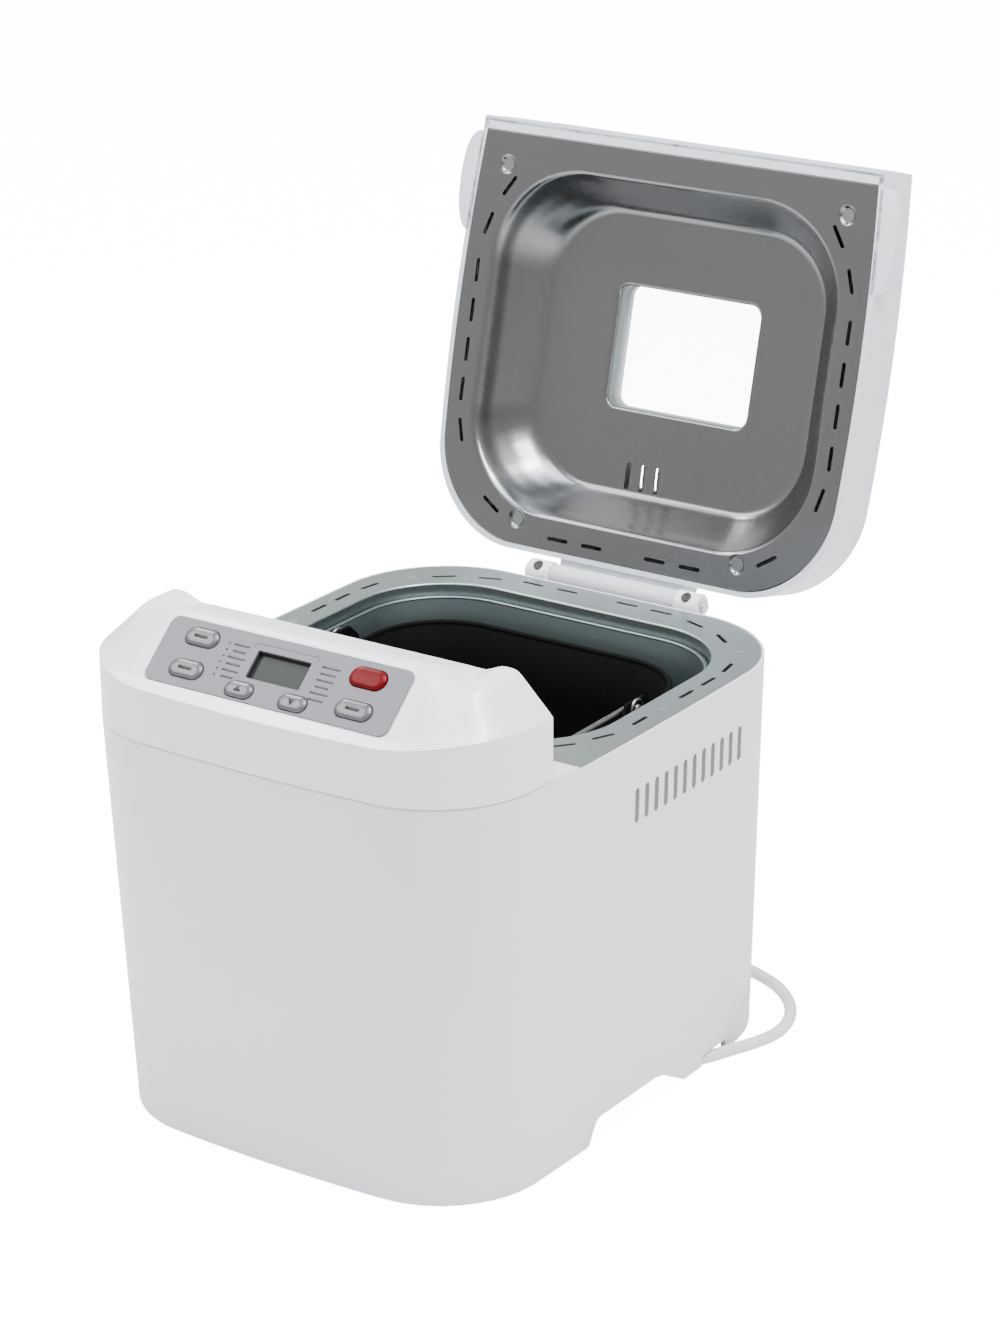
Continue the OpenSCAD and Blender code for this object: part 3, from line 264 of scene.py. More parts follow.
def side_x(y, hw, b, w, l):
    """Half width at depth y of a side that bows out by b over the half length l about w: a parabola."""
    return hw - b * ((np.asarray(y) - w) / l) ** 2


def housing_x(y, hw):
    """Half width at depth y of a housing that is hw wide in the middle."""
    return side_x(y, hw, SIDE_BULGE, WIDEST_Y, HALF_D)


def plan_ring(hw, yf, yb, rf, rb, fb, b, w, l, steps=(10, 20, 40, 20, 8), split=None):
    """A closed plan outline, counter-clockwise from the middle of the front: a bowed front, a corner
    arc tangent to it, a bowed side, a rear corner arc and a straight back, then the same mirrored.
    A split puts two points of the side close before and after that depth."""
    front, turn_f, side, turn_b, back = steps
    kf = 2 * fb * (hw - rf) / hw ** 2
    cyf = yf + fb * ((hw - rf) / hw) ** 2 + rf * math.hypot(1, kf)
    ks = -2 * b * (cyf - w) / l ** 2
    cxf = side_x(cyf, hw, b, w, l) - rf * math.hypot(1, ks)
    cyb = yb - rb
    kb = -2 * b * (cyb - w) / l ** 2
    cxb = side_x(cyb, hw, b, w, l) - rb * math.hypot(1, kb)
    a0, a1 = math.degrees(math.atan2(-1, kf)), math.degrees(math.atan2(-ks, 1))
    a2 = math.degrees(math.atan2(-kb, 1))
    xe = cxf + rf * math.cos(math.radians(a0))
    y0, y1 = cyf + rf * math.sin(math.radians(a1)), cyb + rb * math.sin(math.radians(a2))
    x = np.linspace(0, xe, front + 1)[:-1]
    y = np.linspace(y0, y1, side + 1)[1:-1]
    if split is not None:
        y = np.concatenate([np.linspace(y0, split - 0.15, 9)[1:],
                            np.linspace(split + 0.15, y1, side - 8)[:-1]])
    half = np.concatenate([
        np.stack([x, yf + fb * (x / hw) ** 2], -1),
        arc((cxf, cyf), rf, a0, a1, turn_f),
        np.stack([side_x(y, hw, b, w, l), y], -1),
        arc((cxb, cyb), rb, a2, 90, turn_b),
        np.stack([np.linspace(cxb, 0, back + 1)[1:], np.full(back, yb)], -1)])
    return np.concatenate([half, (half * (-1, 1))[-2:0:-1]])


def body_ring(z, e, split=None):
    """Housing outline at height z, moved in by e: a plan that tapers in a line to the table."""
    t = 1 - z / DECK_Z
    return plan_ring(HALF_W - SIDE_DRAFT * t - e, -HALF_D + FRONT_DRAFT * t + e, HALF_D - e,
                     FRONT_R - e, REAR_R - e, FRONT_BULGE, SIDE_BULGE, WIDEST_Y, HALF_D, split=split)


def liner_ring(e):
    """Outline of the lid's liner moved in by e."""
    return plan_ring(HALF_W - e, LINER_FRONT + e, LID_BACK - LINER_GAP - e, 2, REAR_R - LINER_GAP - e,
                     0, *LINER_BOW, steps=(20, 4, 40, 30, 20))


def lid_side(y):
    """Half width of the lid's shell at depth y."""
    return side_x(y, LID_HW, *LID_BOW)


def by_angle(ring, centre, angles):
    """A closed outline read at the given directions from a point inside it."""
    d = np.asarray(ring, float) - centre
    a = np.arctan2(d[:, 1], d[:, 0])
    order = np.argsort(a)
    a, d = a[order], d[order]
    a = np.concatenate([a[-1:] - 2 * np.pi, a, a[:1] + 2 * np.pi])
    d = np.concatenate([d[-1:], d, d[:1]])
    k = np.clip(np.searchsorted(a, angles) - 1, 0, len(a) - 2)
    p, q = d[k], d[k + 1]
    ray = np.stack([np.cos(angles), np.sin(angles)], -1)
    step = q - p
    across = ray[:, 0] * step[:, 1] - ray[:, 1] * step[:, 0]
    reach = (p[:, 0] * step[:, 1] - p[:, 1] * step[:, 0]) / np.where(np.abs(across) < 1e-12, 1, across)
    return np.asarray(centre) + ray * reach[:, None]


def lifted(ring, z):
    """A plan outline set at height z, a number or one height for each point."""
    return np.concatenate([ring, np.zeros((len(ring), 1)) + np.reshape(z, (-1, 1))], 1)


def sideways(outline, x):
    """An outline given as depth and height, stood at x."""
    o = np.asarray(outline, float)
    return np.concatenate([np.full((len(o), 1), x), o], 1)


# ---- meshes
def linked(name, data):
    """A new object of this name and data, put in the scene."""
    made = bpy.data.objects.new(name, data)
    bpy.context.scene.collection.objects.link(made)
    return made


def grid_faces(rows, cols, wrap_rows, wrap_cols, start=0):
    """Quads of a grid of points held row by row; a wrapped direction joins its end to its start."""
    i = np.arange(rows if wrap_rows else rows - 1)[:, None]
    j = np.arange(cols if wrap_cols else cols - 1)[None, :]
    k, m = (i + 1) % rows, (j + 1) % cols
    quads = np.stack([i * cols + j, i * cols + m, k * cols + m, k * cols + j], -1)
    return (quads.reshape(-1, 4) + start).tolist()


def build(name, points, faces):
    """A mesh object from points in metres; a closed mesh of negative volume is turned out."""
    mesh = bpy.data.meshes.new(name)
    mesh.from_pydata(np.asarray(points).reshape(-1, 3).tolist(), [], faces)
    work = bmesh.new()
    work.from_mesh(mesh)
    if work.calc_volume(signed=True) < 0:
        bmesh.ops.reverse_faces(work, faces=work.faces)
    work.to_mesh(mesh)
    work.free()
    mesh.shade_smooth()
    return linked(name, mesh)


def ring_solid(name, rings, frame_of=to_frame):
    """A closed band: a section of rings that returns to its first one, as a frame has."""
    rings = np.asarray(rings)
    return build(name, frame_of(rings), grid_faces(len(rings), rings.shape[1], True, True))


def capped_solid(name, rings, frame_of=to_frame):
    """A closed solid through rings of equal length, each end shut by a fan about its middle."""
    rings = np.asarray(rings)
    rows, cols = rings.shape[:2]
    points = np.concatenate([rings.reshape(-1, 3), [rings[0].mean(0)], [rings[-1].mean(0)]])
    first, last = rows * cols, rows * cols + 1
    fans = [[first, (j + 1) % cols, j] for j in range(cols)]
    fans += [[last, (rows - 1) * cols + j, (rows - 1) * cols + (j + 1) % cols] for j in range(cols)]
    return build(name, frame_of(points), grid_faces(rows, cols, False, True) + fans)


def prism(name, outline, z0, z1, frame_of=to_frame):
    """A straight prism on a plan outline."""
    return capped_solid(name, [lifted(outline, z0), lifted(outline, z1)], frame_of)


def across_x(name, outline, x0, x1):
    """A prism along x on an outline given as depth and height."""
    return capped_solid(name, [sideways(outline, x0), sideways(outline, x1)])


def block_between(name, low, high):
    """A box between two opposite corners."""
    (x0, y0, z0), (x1, y1, z1) = low, high
    return across_x(name, ((y0, z0), (y1, z0), (y1, z1), (y0, z1)), x0, x1)


def turned(outline, x, y, degrees):
    """An outline turned about the origin and moved to x, y."""
    a = math.radians(degrees)
    spin = np.array([[math.cos(a), math.sin(a)], [-math.sin(a), math.cos(a)]])
    return np.asarray(outline) @ spin + (x, y)


def joined(name, parts):
    """Several objects made one."""
    work = bmesh.new()
    for part in parts:
        work.from_mesh(part.data)
        bpy.data.objects.remove(part)
    mesh = bpy.data.meshes.new(name)
    work.to_mesh(mesh)
    work.free()
    return linked(name, mesh)


def modify(piece, kind, **settings):
    """Adds one modifier with its settings."""
    made = piece.modifiers.new(kind.title(), kind)
    for key, value in settings.items():
        setattr(made, key, value)
    return made


def applied(piece):
    """Bakes a piece's modifiers into its mesh."""
    bpy.context.view_layer.update()
    result = bpy.data.meshes.new_from_object(piece.evaluated_get(bpy.context.evaluated_depsgraph_get()))
    piece.modifiers.clear()
    piece.data = result
    return piece


def cut(piece, cutters):
    """Takes the cutters' volume out of a piece."""
    tool = joined(piece.name + "_cutter", cutters)
    modify(piece, "BOOLEAN", operation="DIFFERENCE", solver="EXACT", object=tool)
    applied(piece)
    bpy.data.objects.remove(tool)
    return piece


def edged(piece, width, angle=35, segments=3):
    """Rounds edges sharper than angle by width millimetres and levels the shading of the flat faces."""
    modify(piece, "BEVEL", width=width / 1000, segments=segments, limit_method="ANGLE",
           angle_limit=math.radians(angle))
    applied(piece)
    piece.data.set_sharp_from_angle(angle=math.radians(50))
    modify(piece, "WEIGHTED_NORMAL", keep_sharp=True)
    return piece


def mirrored_spots(spots):
    """Places given for the right side, with their mirror images on the left."""
    return [(s * x, y, s * turn) for x, y, turn in spots for s in (1, -1)]


# ---- materials
def colour(code):
    """An sRGB hex code as a linear colour."""
    values = np.array([int(code[i:i + 2], 16) for i in (1, 3, 5)]) / 255
    linear = np.where(values <= 0.04045, values / 12.92, ((values + 0.055) / 1.055) ** 2.4)
    return (*linear.tolist(), 1.0)


def add(tree, kind, values=None, links=None, **options):
    """Adds one node: values set sockets, links join (node, output) to them, options set fields."""
    made = tree.nodes.new(kind)
    for key, value in options.items():
        setattr(made, key, value)
    for key, value in (values or {}).items():
        made.inputs[key].default_value = value
    for key, (source, output) in (links or {}).items():
        tree.links.new(source.outputs[output], made.inputs[key])
    return made


def finish(name, base, second, mottle, grain, depth, rough, spread=0.0, stretch=(1, 1, 1), **shader):
    """A surface of two near colours in patches mottle mm across, under a grain of bumps grain mm wide
    and depth mm high, with its roughness spread about rough by the same grain."""
    made = bpy.data.materials.new(name)
    made.use_nodes = True
    tree = made.node_tree
    tree.nodes.clear()
    where = add(tree, "ShaderNodeTexCoord")
    placed = add(tree, "ShaderNodeMapping", {"Scale": stretch}, {"Vector": (where, "Object")})
    patches, fine = (add(tree, "ShaderNodeTexNoise", {"Scale": 1000 / size, "Detail": detail},
                         {"Vector": (placed, "Vector")})
                     for size, detail in ((mottle, 3.0), (grain, 2.0)))
    tint = add(tree, "ShaderNodeMix", {6: colour(base), 7: colour(second)}, {0: (patches, "Fac")},
               data_type="RGBA")
    bump = add(tree, "ShaderNodeBump", {"Strength": 1.0, "Distance": depth / 1000},
               {"Height": (fine, "Fac")})
    links = {"Base Color": (tint, 2), "Normal": (bump, "Normal")}
    if spread:
        varied = add(tree, "ShaderNodeMapRange", {"To Min": rough - spread, "To Max": rough + spread},
                     {"Value": (fine, "Fac")})
        links["Roughness"] = (varied, "Result")
    surface = add(tree, "ShaderNodeBsdfPrincipled", {"Roughness": rough, **shader}, links)
    add(tree, "ShaderNodeOutputMaterial", None, {"Surface": (surface, "BSDF")})
    return made


# Each line: the name, two near colours, patch and grain in mm, grain height in mm, roughness.
# Polished-mould ABS of the outer shells: a broad soft gloss with the faintest ripple. The console's
# copy is lighter, painted light on its upward faces; the lid's copy is darker and bluer, painted shade
# on its sides.
white_abs = finish("moulded_white_abs", "#DBDCE3", "#D7D8DF", 60, 9, 0.006, 0.27, IOR=1.53)
console_abs_painted_light = finish("console_abs_lightened_as_painted_light", "#E4E8F0", "#E0E4EC", 60, 9, 0.004, 0.24, IOR=1.53)
lid_abs_painted_shade = finish("lid_abs_darkened_as_painted_shade", "#D0D6DE", "#CCD2DA", 60, 9, 0.005, 0.28, IOR=1.53)
# Lightly sparked ABS and polypropylene of the hinge, the base and the vent strips: flat and satin. The
# knuckle's copy of the hinge ABS is darker, painted shade under the lid; the dark grey vent strips are
# painted shade in the slots.
hinge_abs = finish("moulded_hinge_abs", "#E8EBEF", "#E2E5EA", 20, 2, 0.006, 0.36, IOR=1.53)
knuckle_abs_painted_shade = finish("knuckle_abs_darkened_as_painted_shade", "#C6CACF", "#BFC3C9", 20, 2, 0.006, 0.4, IOR=1.53)
base_pp = finish("moulded_grey_polypropylene", "#77797B", "#6F7173", 25, 0.8, 0.03, 0.55, IOR=1.49)
# dark grey stand-ins for the shade inside the vent slots and the cord notch: painted shade
vent_and_notch_shade_pp = finish("grey_baffle_painted_shade", "#626466", "#5C5E60", 25, 0.8, 0.02, 0.6, IOR=1.49)
# Silver-grey screen-printed film: a fine metallic fleck under a satin top.
panel_film = finish("printed_silver_film", "#696B6F", "#626468", 45, 0.35, 0.004, 0.38, spread=0.05,
                    Metallic=0.25, IOR=1.5)
key_silver = finish("painted_silver_key", "#606265", "#5A5C5F", 8, 0.4, 0.004, 0.22, Metallic=0.35,
                    IOR=1.45)
key_red = finish("moulded_red_key", "#620008", "#5A0007", 8, 1.2, 0.004, 0.26, IOR=1.22)
# Screen inks: thin matt marks.
print_ink = finish("grey_screen_ink", "#3E4044", "#383A3E", 3, 0.2, 0.002, 0.5)
arrow_ink = finish("black_screen_ink", "#1B1B1D", "#232325", 3, 0.2, 0.002, 0.45)
# Display glass over a dark cell, smooth and dim, in a dark ring that is painted shade: the shadow on
# the walls of the display's recess.
lcd_face = finish("grey_green_display", "#2A2F2E", "#272C2B", 12, 0.5, 0.001, 0.12, IOR=1.22)
display_recess_shade = finish("display_recess_painted_shade", "#2A2D2E", "#242627", 6, 0.5, 0.004, 0.6)
# Rolled aluminised sheet: satin, with grain drawn out along the rolling direction.
liner_sheet = finish("satin_rolled_liner_sheet", "#7B7C7D", "#747576", 40, 0.5, 0.006, 0.25,
                     stretch=(0.25, 1, 1), spread=0.012, Metallic=1.0)
deck_sheet = finish("satin_rolled_deck_sheet", "#A3ABAC", "#99A1A2", 40, 0.5, 0.006, 0.4,
                    stretch=(0.25, 1, 1), spread=0.04, Metallic=1.0)
# The tub's copy is darkened: painted shade inside the oven opening and on the window's inner edge.
tub_sheet_painted_shade = finish("tub_sheet_darkened_as_painted_shade", "#667172", "#5C6768", 35, 0.7, 0.01, 0.45, spread=0.06,
                   Metallic=0.9)
# The rolled lip's copy is lighter: a painted highlight where the lip catches the top light.
lip_sheet_painted_highlight = finish("lip_sheet_lightened_as_painted_highlight", "#7D8889", "#757F80", 30, 0.6, 0.006, 0.42, Metallic=0.9)
# Sprayed non-stick coating: near black with a fine pebbled skin.
nonstick = finish("sprayed_nonstick_coating", "#070707", "#0A0A0A", 5, 0.5, 0.02, 0.75, spread=0.06,
                  IOR=1.15)
# Steels from a sharp plated gleam to the dull brown that oven heat leaves, and a near-black screw steel
# that is painted shade.
bright_steel = finish("plated_bright_steel", "#C3C5C8", "#B9BBBF", 10, 0.6, 0.004, 0.22, Metallic=1.0)
bail_steel = finish("oven_dulled_steel_rod", "#8B8886", "#817E7C", 10, 0.6, 0.006, 0.34, Metallic=1.0)
sheath_steel = finish("heat_tinted_sheath_steel", "#6B655F", "#5C5650", 14, 0.4, 0.01, 0.45,
                      Metallic=1.0)
screw_steel_painted_shade = finish("screw_steel_darkened_as_painted_shade", "#2E2E30", "#28282A", 6, 0.4, 0.006, 0.6, Metallic=0.2)
motor_steel = finish("zinc_plated_steel", "#8F9396", "#858A8D", 12, 0.5, 0.006, 0.38, Metallic=1.0)
# Enamelled wire wound on the motor: warm satin ridges along the turns.
copper = finish("enamelled_copper_winding", "#B06A3C", "#9C5A31", 6, 0.5, 0.05, 0.32, stretch=(1, 1, 6),
                Metallic=0.8)
# Pressed bearing bronze and cast aluminium: dull metal with a fine sandy skin.
bronze = finish("sintered_bronze", "#B08C54", "#A07E4B", 3, 0.2, 0.01, 0.5, Metallic=0.9)
die_cast = finish("cast_aluminium", "#A2A4A6", "#97999B", 8, 0.5, 0.03, 0.5, Metallic=0.9)
# Cream nylon with a soft gloss, matt rubbers, and the satin resin and paint of the electrical parts.
nylon = finish("moulded_natural_nylon", "#E3DECB", "#DAD5C2", 15, 1, 0.008, 0.42, IOR=1.53)
belt_rubber = finish("neoprene_belt", "#1D1D1F", "#262628", 6, 0.4, 0.03, 0.7)
foot_rubber = finish("moulded_foot_rubber", "#3C3C3E", "#454547", 6, 0.5, 0.03, 0.75)
board_green = finish("glass_epoxy_board", "#2C5C3A", "#264F32", 6, 0.4, 0.01, 0.4)
can_white = finish("capacitor_case", "#E2E2DD", "#D8D8D3", 15, 1, 0.006, 0.35)
# Extruded PVC of the cord and plug: pale, soft and satin; the grey sleeve is rougher.
cord_pvc = finish("extruded_pale_pvc", "#DDDEE1", "#D3D4D8", 12, 0.8, 0.01, 0.5, IOR=1.53)
sleeve_pvc = finish("flexible_grey_pvc", "#56585C", "#4C4E52", 6, 0.6, 0.02, 0.6)
# Matt studio board, all but without pattern.
floor_white = finish("pale_studio_floor", "#FAFAFA", "#F8F8F8", 400, 4, 0.0, 0.8)
# It glows strongly towards the camera alone, as an overexposed backdrop does, and faintly on the rest.
floor_sees = add(floor_white.node_tree, "ShaderNodeLightPath")
floor_glow = add(floor_white.node_tree, "ShaderNodeMath", {1: 14.0, 2: 0.22},
                 {0: (floor_sees, "Is Camera Ray")}, operation="MULTIPLY_ADD")
floor_surface = next(n for n in floor_white.node_tree.nodes if n.type == "BSDF_PRINCIPLED")
floor_surface.inputs["Emission Color"].default_value = colour("#FFFFFF")
floor_white.node_tree.links.new(floor_glow.outputs["Value"], floor_surface.inputs["Emission Strength"])
# Clear oven glass, almost nothing but its reflections.
oven_glass = finish("clear_oven_glass", "#E9F2F1", "#E2ECEB", 60, 20, 0.0, 0.03, IOR=1.5, Alpha=0.1)


def place(piece, body, slot, material, *nodes):
    """Gives a piece its finish and its body, and hides the CAD nodes it stands for."""
    piece.data.materials.clear()
    piece.data.materials.append(material)
    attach(piece, body)
    if nodes:
        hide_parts(*nodes)
    return piece


# ---- camera and light
CAMERA_AT = Vector((0.9384, -1.3631, 0.8119))
CAMERA_TO = Vector((0.02014, -0.03427, 0.19453))
CAMERA_ROLL = math.radians(0.53)
LENS = 103.05
FLOOR_HALF = 30
FLOOR_Z = -0.0005


def make_camera():
    """The view: from above the front right corner, with a slight roll."""
    data = bpy.data.cameras.new("camera")
    data.lens = LENS
    data.sensor_width = 36
    data.clip_start, data.clip_end = 0.05, 2 * FLOOR_HALF
    camera = linked("camera", data)
    look = CAMERA_TO - CAMERA_AT
    turn = look.to_track_quat("-Z", "Y")
    turn.rotate(Quaternion(look.normalized(), CAMERA_ROLL))
    camera.location = CAMERA_AT
    camera.rotation_mode = "QUATERNION"
    camera.rotation_quaternion = turn
    bpy.context.scene.camera = camera


def softbox(name, at, to, width, height, watts, tint="#FFFFFF"):
    """One rectangular studio light aimed at a point."""
    data = bpy.data.lights.new(name, "AREA")
    data.shape = "RECTANGLE"
    data.size, data.size_y = width, height
    data.energy = watts
    data.color = colour(tint)[:3]
    lamp = linked(name, data)
    lamp.location = at
    lamp.rotation_euler = (Vector(to) - Vector(at)).to_track_quat("-Z", "Y").to_euler()


def make_studio():
    """A white room, darker to its right, a pale floor, two softboxes and three small lights."""
    world = bpy.data.worlds.new("surround")
    world.use_nodes = True
    tree = world.node_tree
    background = tree.nodes["Background"]
    background.inputs["Color"].default_value = colour("#FFFFFF")
    along = add(tree, "ShaderNodeTexCoord")
    axes = add(tree, "ShaderNodeSeparateXYZ", None, {"Vector": (along, "Generated")})
    fade = add(tree, "ShaderNodeMapRange", {"From Min": -1.0, "To Min": 1.02, "To Max": 0.7},
               {"Value": (axes, "X")})
    tree.links.new(fade.outputs["Result"], background.inputs["Strength"])
    bpy.context.scene.world = world
    corners = ((-1, -1), (1, -1), (1, 1), (-1, 1))
    floor = build("floor", [(FLOOR_HALF * x, FLOOR_HALF * y, FLOOR_Z) for x, y in corners],
                  [[0, 1, 2, 3]])
    floor.data.materials.append(floor_white)
    softbox("key", (-1.25, -0.95, 1.7), (0, 0, 0.2), 1.2, 0.9, 26)
    softbox("top", (0.2, -0.3, 2.3), (0, -0.1, 0.1), 1.5, 1.2, 60, "#F1F6FF")
    softbox("strip", (0.72, -0.14, 1.24), (-0.08, 0.13, 0.26), 0.09, 0.5, 13)
    softbox("spot", (0.38, 0.09, 1.27), (-0.08, 0.13, 0.26), 0.2, 0.16, 9)
    softbox("low", (-0.62, 0.13, 1.02), (-0.02, 0.13, 0.25), 0.5, 0.16, 5)


# ---- cord
def spline(knots, spacing):
    """Points about spacing apart on a Catmull-Rom curve through knots."""
    p = np.asarray(knots, float)
    p = np.concatenate([[2 * p[0] - p[1]], p, [2 * p[-1] - p[-2]]])
    t = np.linspace(0, 1, 40, endpoint=False)[:, None]
    spans = [b + (c - a) * t / 2 + (a - 2.5 * b + 2 * c - d / 2) * t ** 2
             + (1.5 * (b - c) + (d - a) / 2) * t ** 3 for a, b, c, d in zip(p, p[1:], p[2:], p[3:])]
    fine = np.concatenate([*spans, p[-2:-1]])
    run = np.concatenate([[0], np.cumsum(np.linalg.norm(np.diff(fine, axis=0), axis=1))])
    at = np.linspace(0, run[-1], max(4, round(run[-1] / spacing) + 1))
    return np.stack([np.interp(at, run, fine[:, i]) for i in range(3)], -1)


def coil_points():
    """Three turns wound clockwise from the front of the coil: out, in below, then in and out on top.
    Radius and height step by one diameter, where the turns beside them hold still."""
    turn = np.linspace(0, 3, 145)[1:]
    step_in = ease((turn - 0.81) / 0.19)
    step_out = ease((turn - 2.48) / 0.19)
    rise = ease((turn - 5 / 3) * 6)
    r = COIL_R - CORD_D * step_in + CORD_D * step_out
    a = -math.pi / 2 - 2 * math.pi * turn
    return np.stack([COIL_C[0] + r * np.cos(a), COIL_C[1] + r * np.sin(a), CORD_D * (0.5 + rise)], -1)


def make_cord():
    """The cord, out of the notch, round the rear right corner, through the coil and into the plug's
    neck, as a round tube; with its first point and its length."""
    route = spline([*CORD_ROUTE, (COIL_C[0], COIL_C[1] - COIL_R, CORD_D / 2)], CORD_STEP)
    coil = coil_points()
    tail = spline([coil[-1], *CORD_TAIL], CORD_STEP)
    line = np.concatenate([route, coil, tail[1:]])
    data = bpy.data.curves.new("power_cord", "CURVE")
    data.dimensions = "3D"
    data.bevel_depth = CORD_D / 2
    data.bevel_resolution = 6
    data.use_fill_caps = True
    run = data.splines.new("POLY")
    run.points.add(len(line) - 1)
    run.points.foreach_set("co", np.concatenate([line, np.ones((len(line), 1))], 1).ravel())
    run.use_smooth = True
    length = float(np.linalg.norm(np.diff(line, axis=0), axis=1).sum())
    return linked("cord", data), line[0], length


def make_plug_pins():
    """The plug's pins: rods along x with rounded tips, over the pins that the moulding holds."""
    (root, tip), sides, z = PLUG_PINS
    levels = [(root, PIN_R)] + [(tip + PIN_R * (1 - math.sin(t)), PIN_R * max(math.cos(t), 0.4))
                                for t in np.linspace(0, math.pi / 2, 7)]
    pins = [capped_solid("pin", [sideways(circle((y, z), r, 32), x) for x, r in levels], np.asarray)
            for y in sides]
    return place(joined("plug_pins", pins), "base", "bright_steel", bright_steel)


# ---- shells
def field_shell(name, outer, inner, zb, frame_of=to_frame):
    """A moulded shell: an outer and an inner height field of equal size, each with a wall from its
    border down to zb, the two joined there by the rim."""
    rows, cols = outer.shape[:2]
    n = rows * cols
    index = np.arange(n).reshape(rows, cols)
    edge = np.concatenate([index[0, :-1], index[:-1, -1], index[-1, :0:-1], index[:0:-1, 0]])
    m = len(edge)
    fields = [field.reshape(-1, 3) for field in (outer, inner)]
    points = np.concatenate([*fields, *(lifted(field[edge, :2], zb) for field in fields)])
    j = np.arange(m)
    k = (j + 1) % m
    low, deep = 2 * n, 2 * n + m
    faces = grid_faces(rows, cols, False, False)
    faces += np.array(grid_faces(rows, cols, False, False, n))[:, ::-1].tolist()
    for quad in ((edge[j], low + j, low + k, edge[k]), (n + edge[k], deep + k, deep + j, n + edge[j]),
                 (low + j, deep + j, deep + k, low + k)):
        faces += np.stack(quad, -1).tolist()
    return build(name, frame_of(points), faces)


def make_housing():
    """The outer shell: the plan outline carried up the sides, over a rim and down inside."""
    def ring(z, e, above=0.0):
        """The plan outline at height z, moved in by e; above lifts it under the console."""
        plan = body_ring(z, e, LEDGE_Y)
        return lifted(plan, z + above * np.where(plan[:, 1] < LEDGE_Y, LEDGE_Z - DECK_Z, 0))
    levels = ((1.6, WALL), (1.0, 2.2), (1.0, 1.3), (1.25, 0.5), (1.7, 0.1), (2.5, 0), (12, 0), (40, 0),
              (80, 0), (120, 0), (150, 0), (175, 0), (188.9, 0, 1), (189.5, 0.08, 1), (189.9, 0.35, 1),
              (190, 0.75, 1), (189.95, 1.1, 1), (189.7, RIM, 1), (188.9, RIM), (188.9, SHELF_IN),
              (SHELF_Z, SHELF_IN), (SHELF_Z, WALL))
    shell = ring_solid("housing", [ring(*level) for level in levels])
    cutters = []
    for i in range(VENT_COUNT):
        y = VENT_CENTRE[0] + (i - (VENT_COUNT - 1) / 2) * VENT_PITCH
        slot = stadium(*VENT_SIZE)[:, ::-1] * (-1, 1) + (y, VENT_CENTRE[1])
        cutters += [across_x("vent", slot, s * 98, s * 125) for s in (1, -1)]
    cutters.append(across_x("arch", ARCH, -150, 150))
    cutters.append(block_between("notch", *CORD_NOTCH))
    cut(shell, cutters)
    # strip of the moulding between the console and the deck
    y = LEDGE_Y - np.array([21, 21, 0.6, 0.2, 0.05, 0, 0])
    z = np.array([SHELF_Z, *(LEDGE_Z - np.array([0, 0, 0.12, 0.35, 0.7])), SHELF_Z])
    half = housing_x(y, HALF_W - RIM + 0.1)
    strip = capped_solid("strip", [np.stack([u * half, y, z], -1) for u in np.linspace(-1, 1, 9)])
    shell = edged(joined("housing_shell", [shell, strip]), 0.35, 40)
    place(shell, "base", "housing_plastic", white_abs, "housing")


def make_baffles():
    """Dark grey strips behind the vents that follow each side's bow, and an upstand behind the notch:
    painted shade that darkens the slots and the notch.
    """
    y0, z0 = VENT_CENTRE
    half_l, half_h, near, far = BAFFLE
    section = [(z0 + h, e) for h, e in ((-half_h, near), (half_h, near), (half_h, far), (-half_h, far))]
    parts = []
    for s in (1, -1):
        rings = [[(s * (housing_x(y, HALF_W - SIDE_DRAFT * (1 - z / DECK_Z)) - e), y, z)
                  for z, e in section] for y in np.linspace(y0 - half_l, y0 + half_l, 21)]
        parts.append(capped_solid("baffle", rings))
    parts.append(block_between("upstand", *UPSTAND))
    place(joined("vent_and_notch_shade_baffles", parts), "base", "base_plastic", vent_and_notch_shade_pp)


def front_y(x):
    """Depth of the console's front at each x: a bowed front, then a quarter round to the side."""
    a = np.abs(x)
    bow = -HALF_D + FRONT_BULGE * (np.minimum(a, CORNER_START) / HALF_W) ** 2
    turn = FRONT_R - np.sqrt(np.maximum(0, FRONT_R ** 2 - np.maximum(a - CORNER_START, 0) ** 2))
    return bow + turn


def console_height(x, y):
    """Top of the console: one section run round the corner, blending from the front's to the side's."""
    scale = FRONT_R / (SIDE_TOP - CORNER_X)
    qx, qy = (np.abs(x) - CORNER_X) * scale, CORNER_Y - y
    ahead = soft_lookup(y + HALF_D, FRONT_PROFILE, CONSOLE_SOFT)
    d = FRONT_R - np.where(qy > 0, np.hypot(qx, qy), qx)
    side = soft_lookup(d, SIDE_PROFILE, CONSOLE_SOFT)
    start, width = CONSOLE_BLEND
    side = side + (ahead - side) * ease((d - start) / width)
    front = soft_lookup(d, FRONT_PROFILE, CONSOLE_SOFT)
    w = np.where(qy > 0, ease(np.arctan2(np.maximum(qx, 0), np.maximum(qy, 1e-9)) / (math.pi / 2)), 1)
    return np.where(qx <= 0, ahead, front + (side - front) * w)


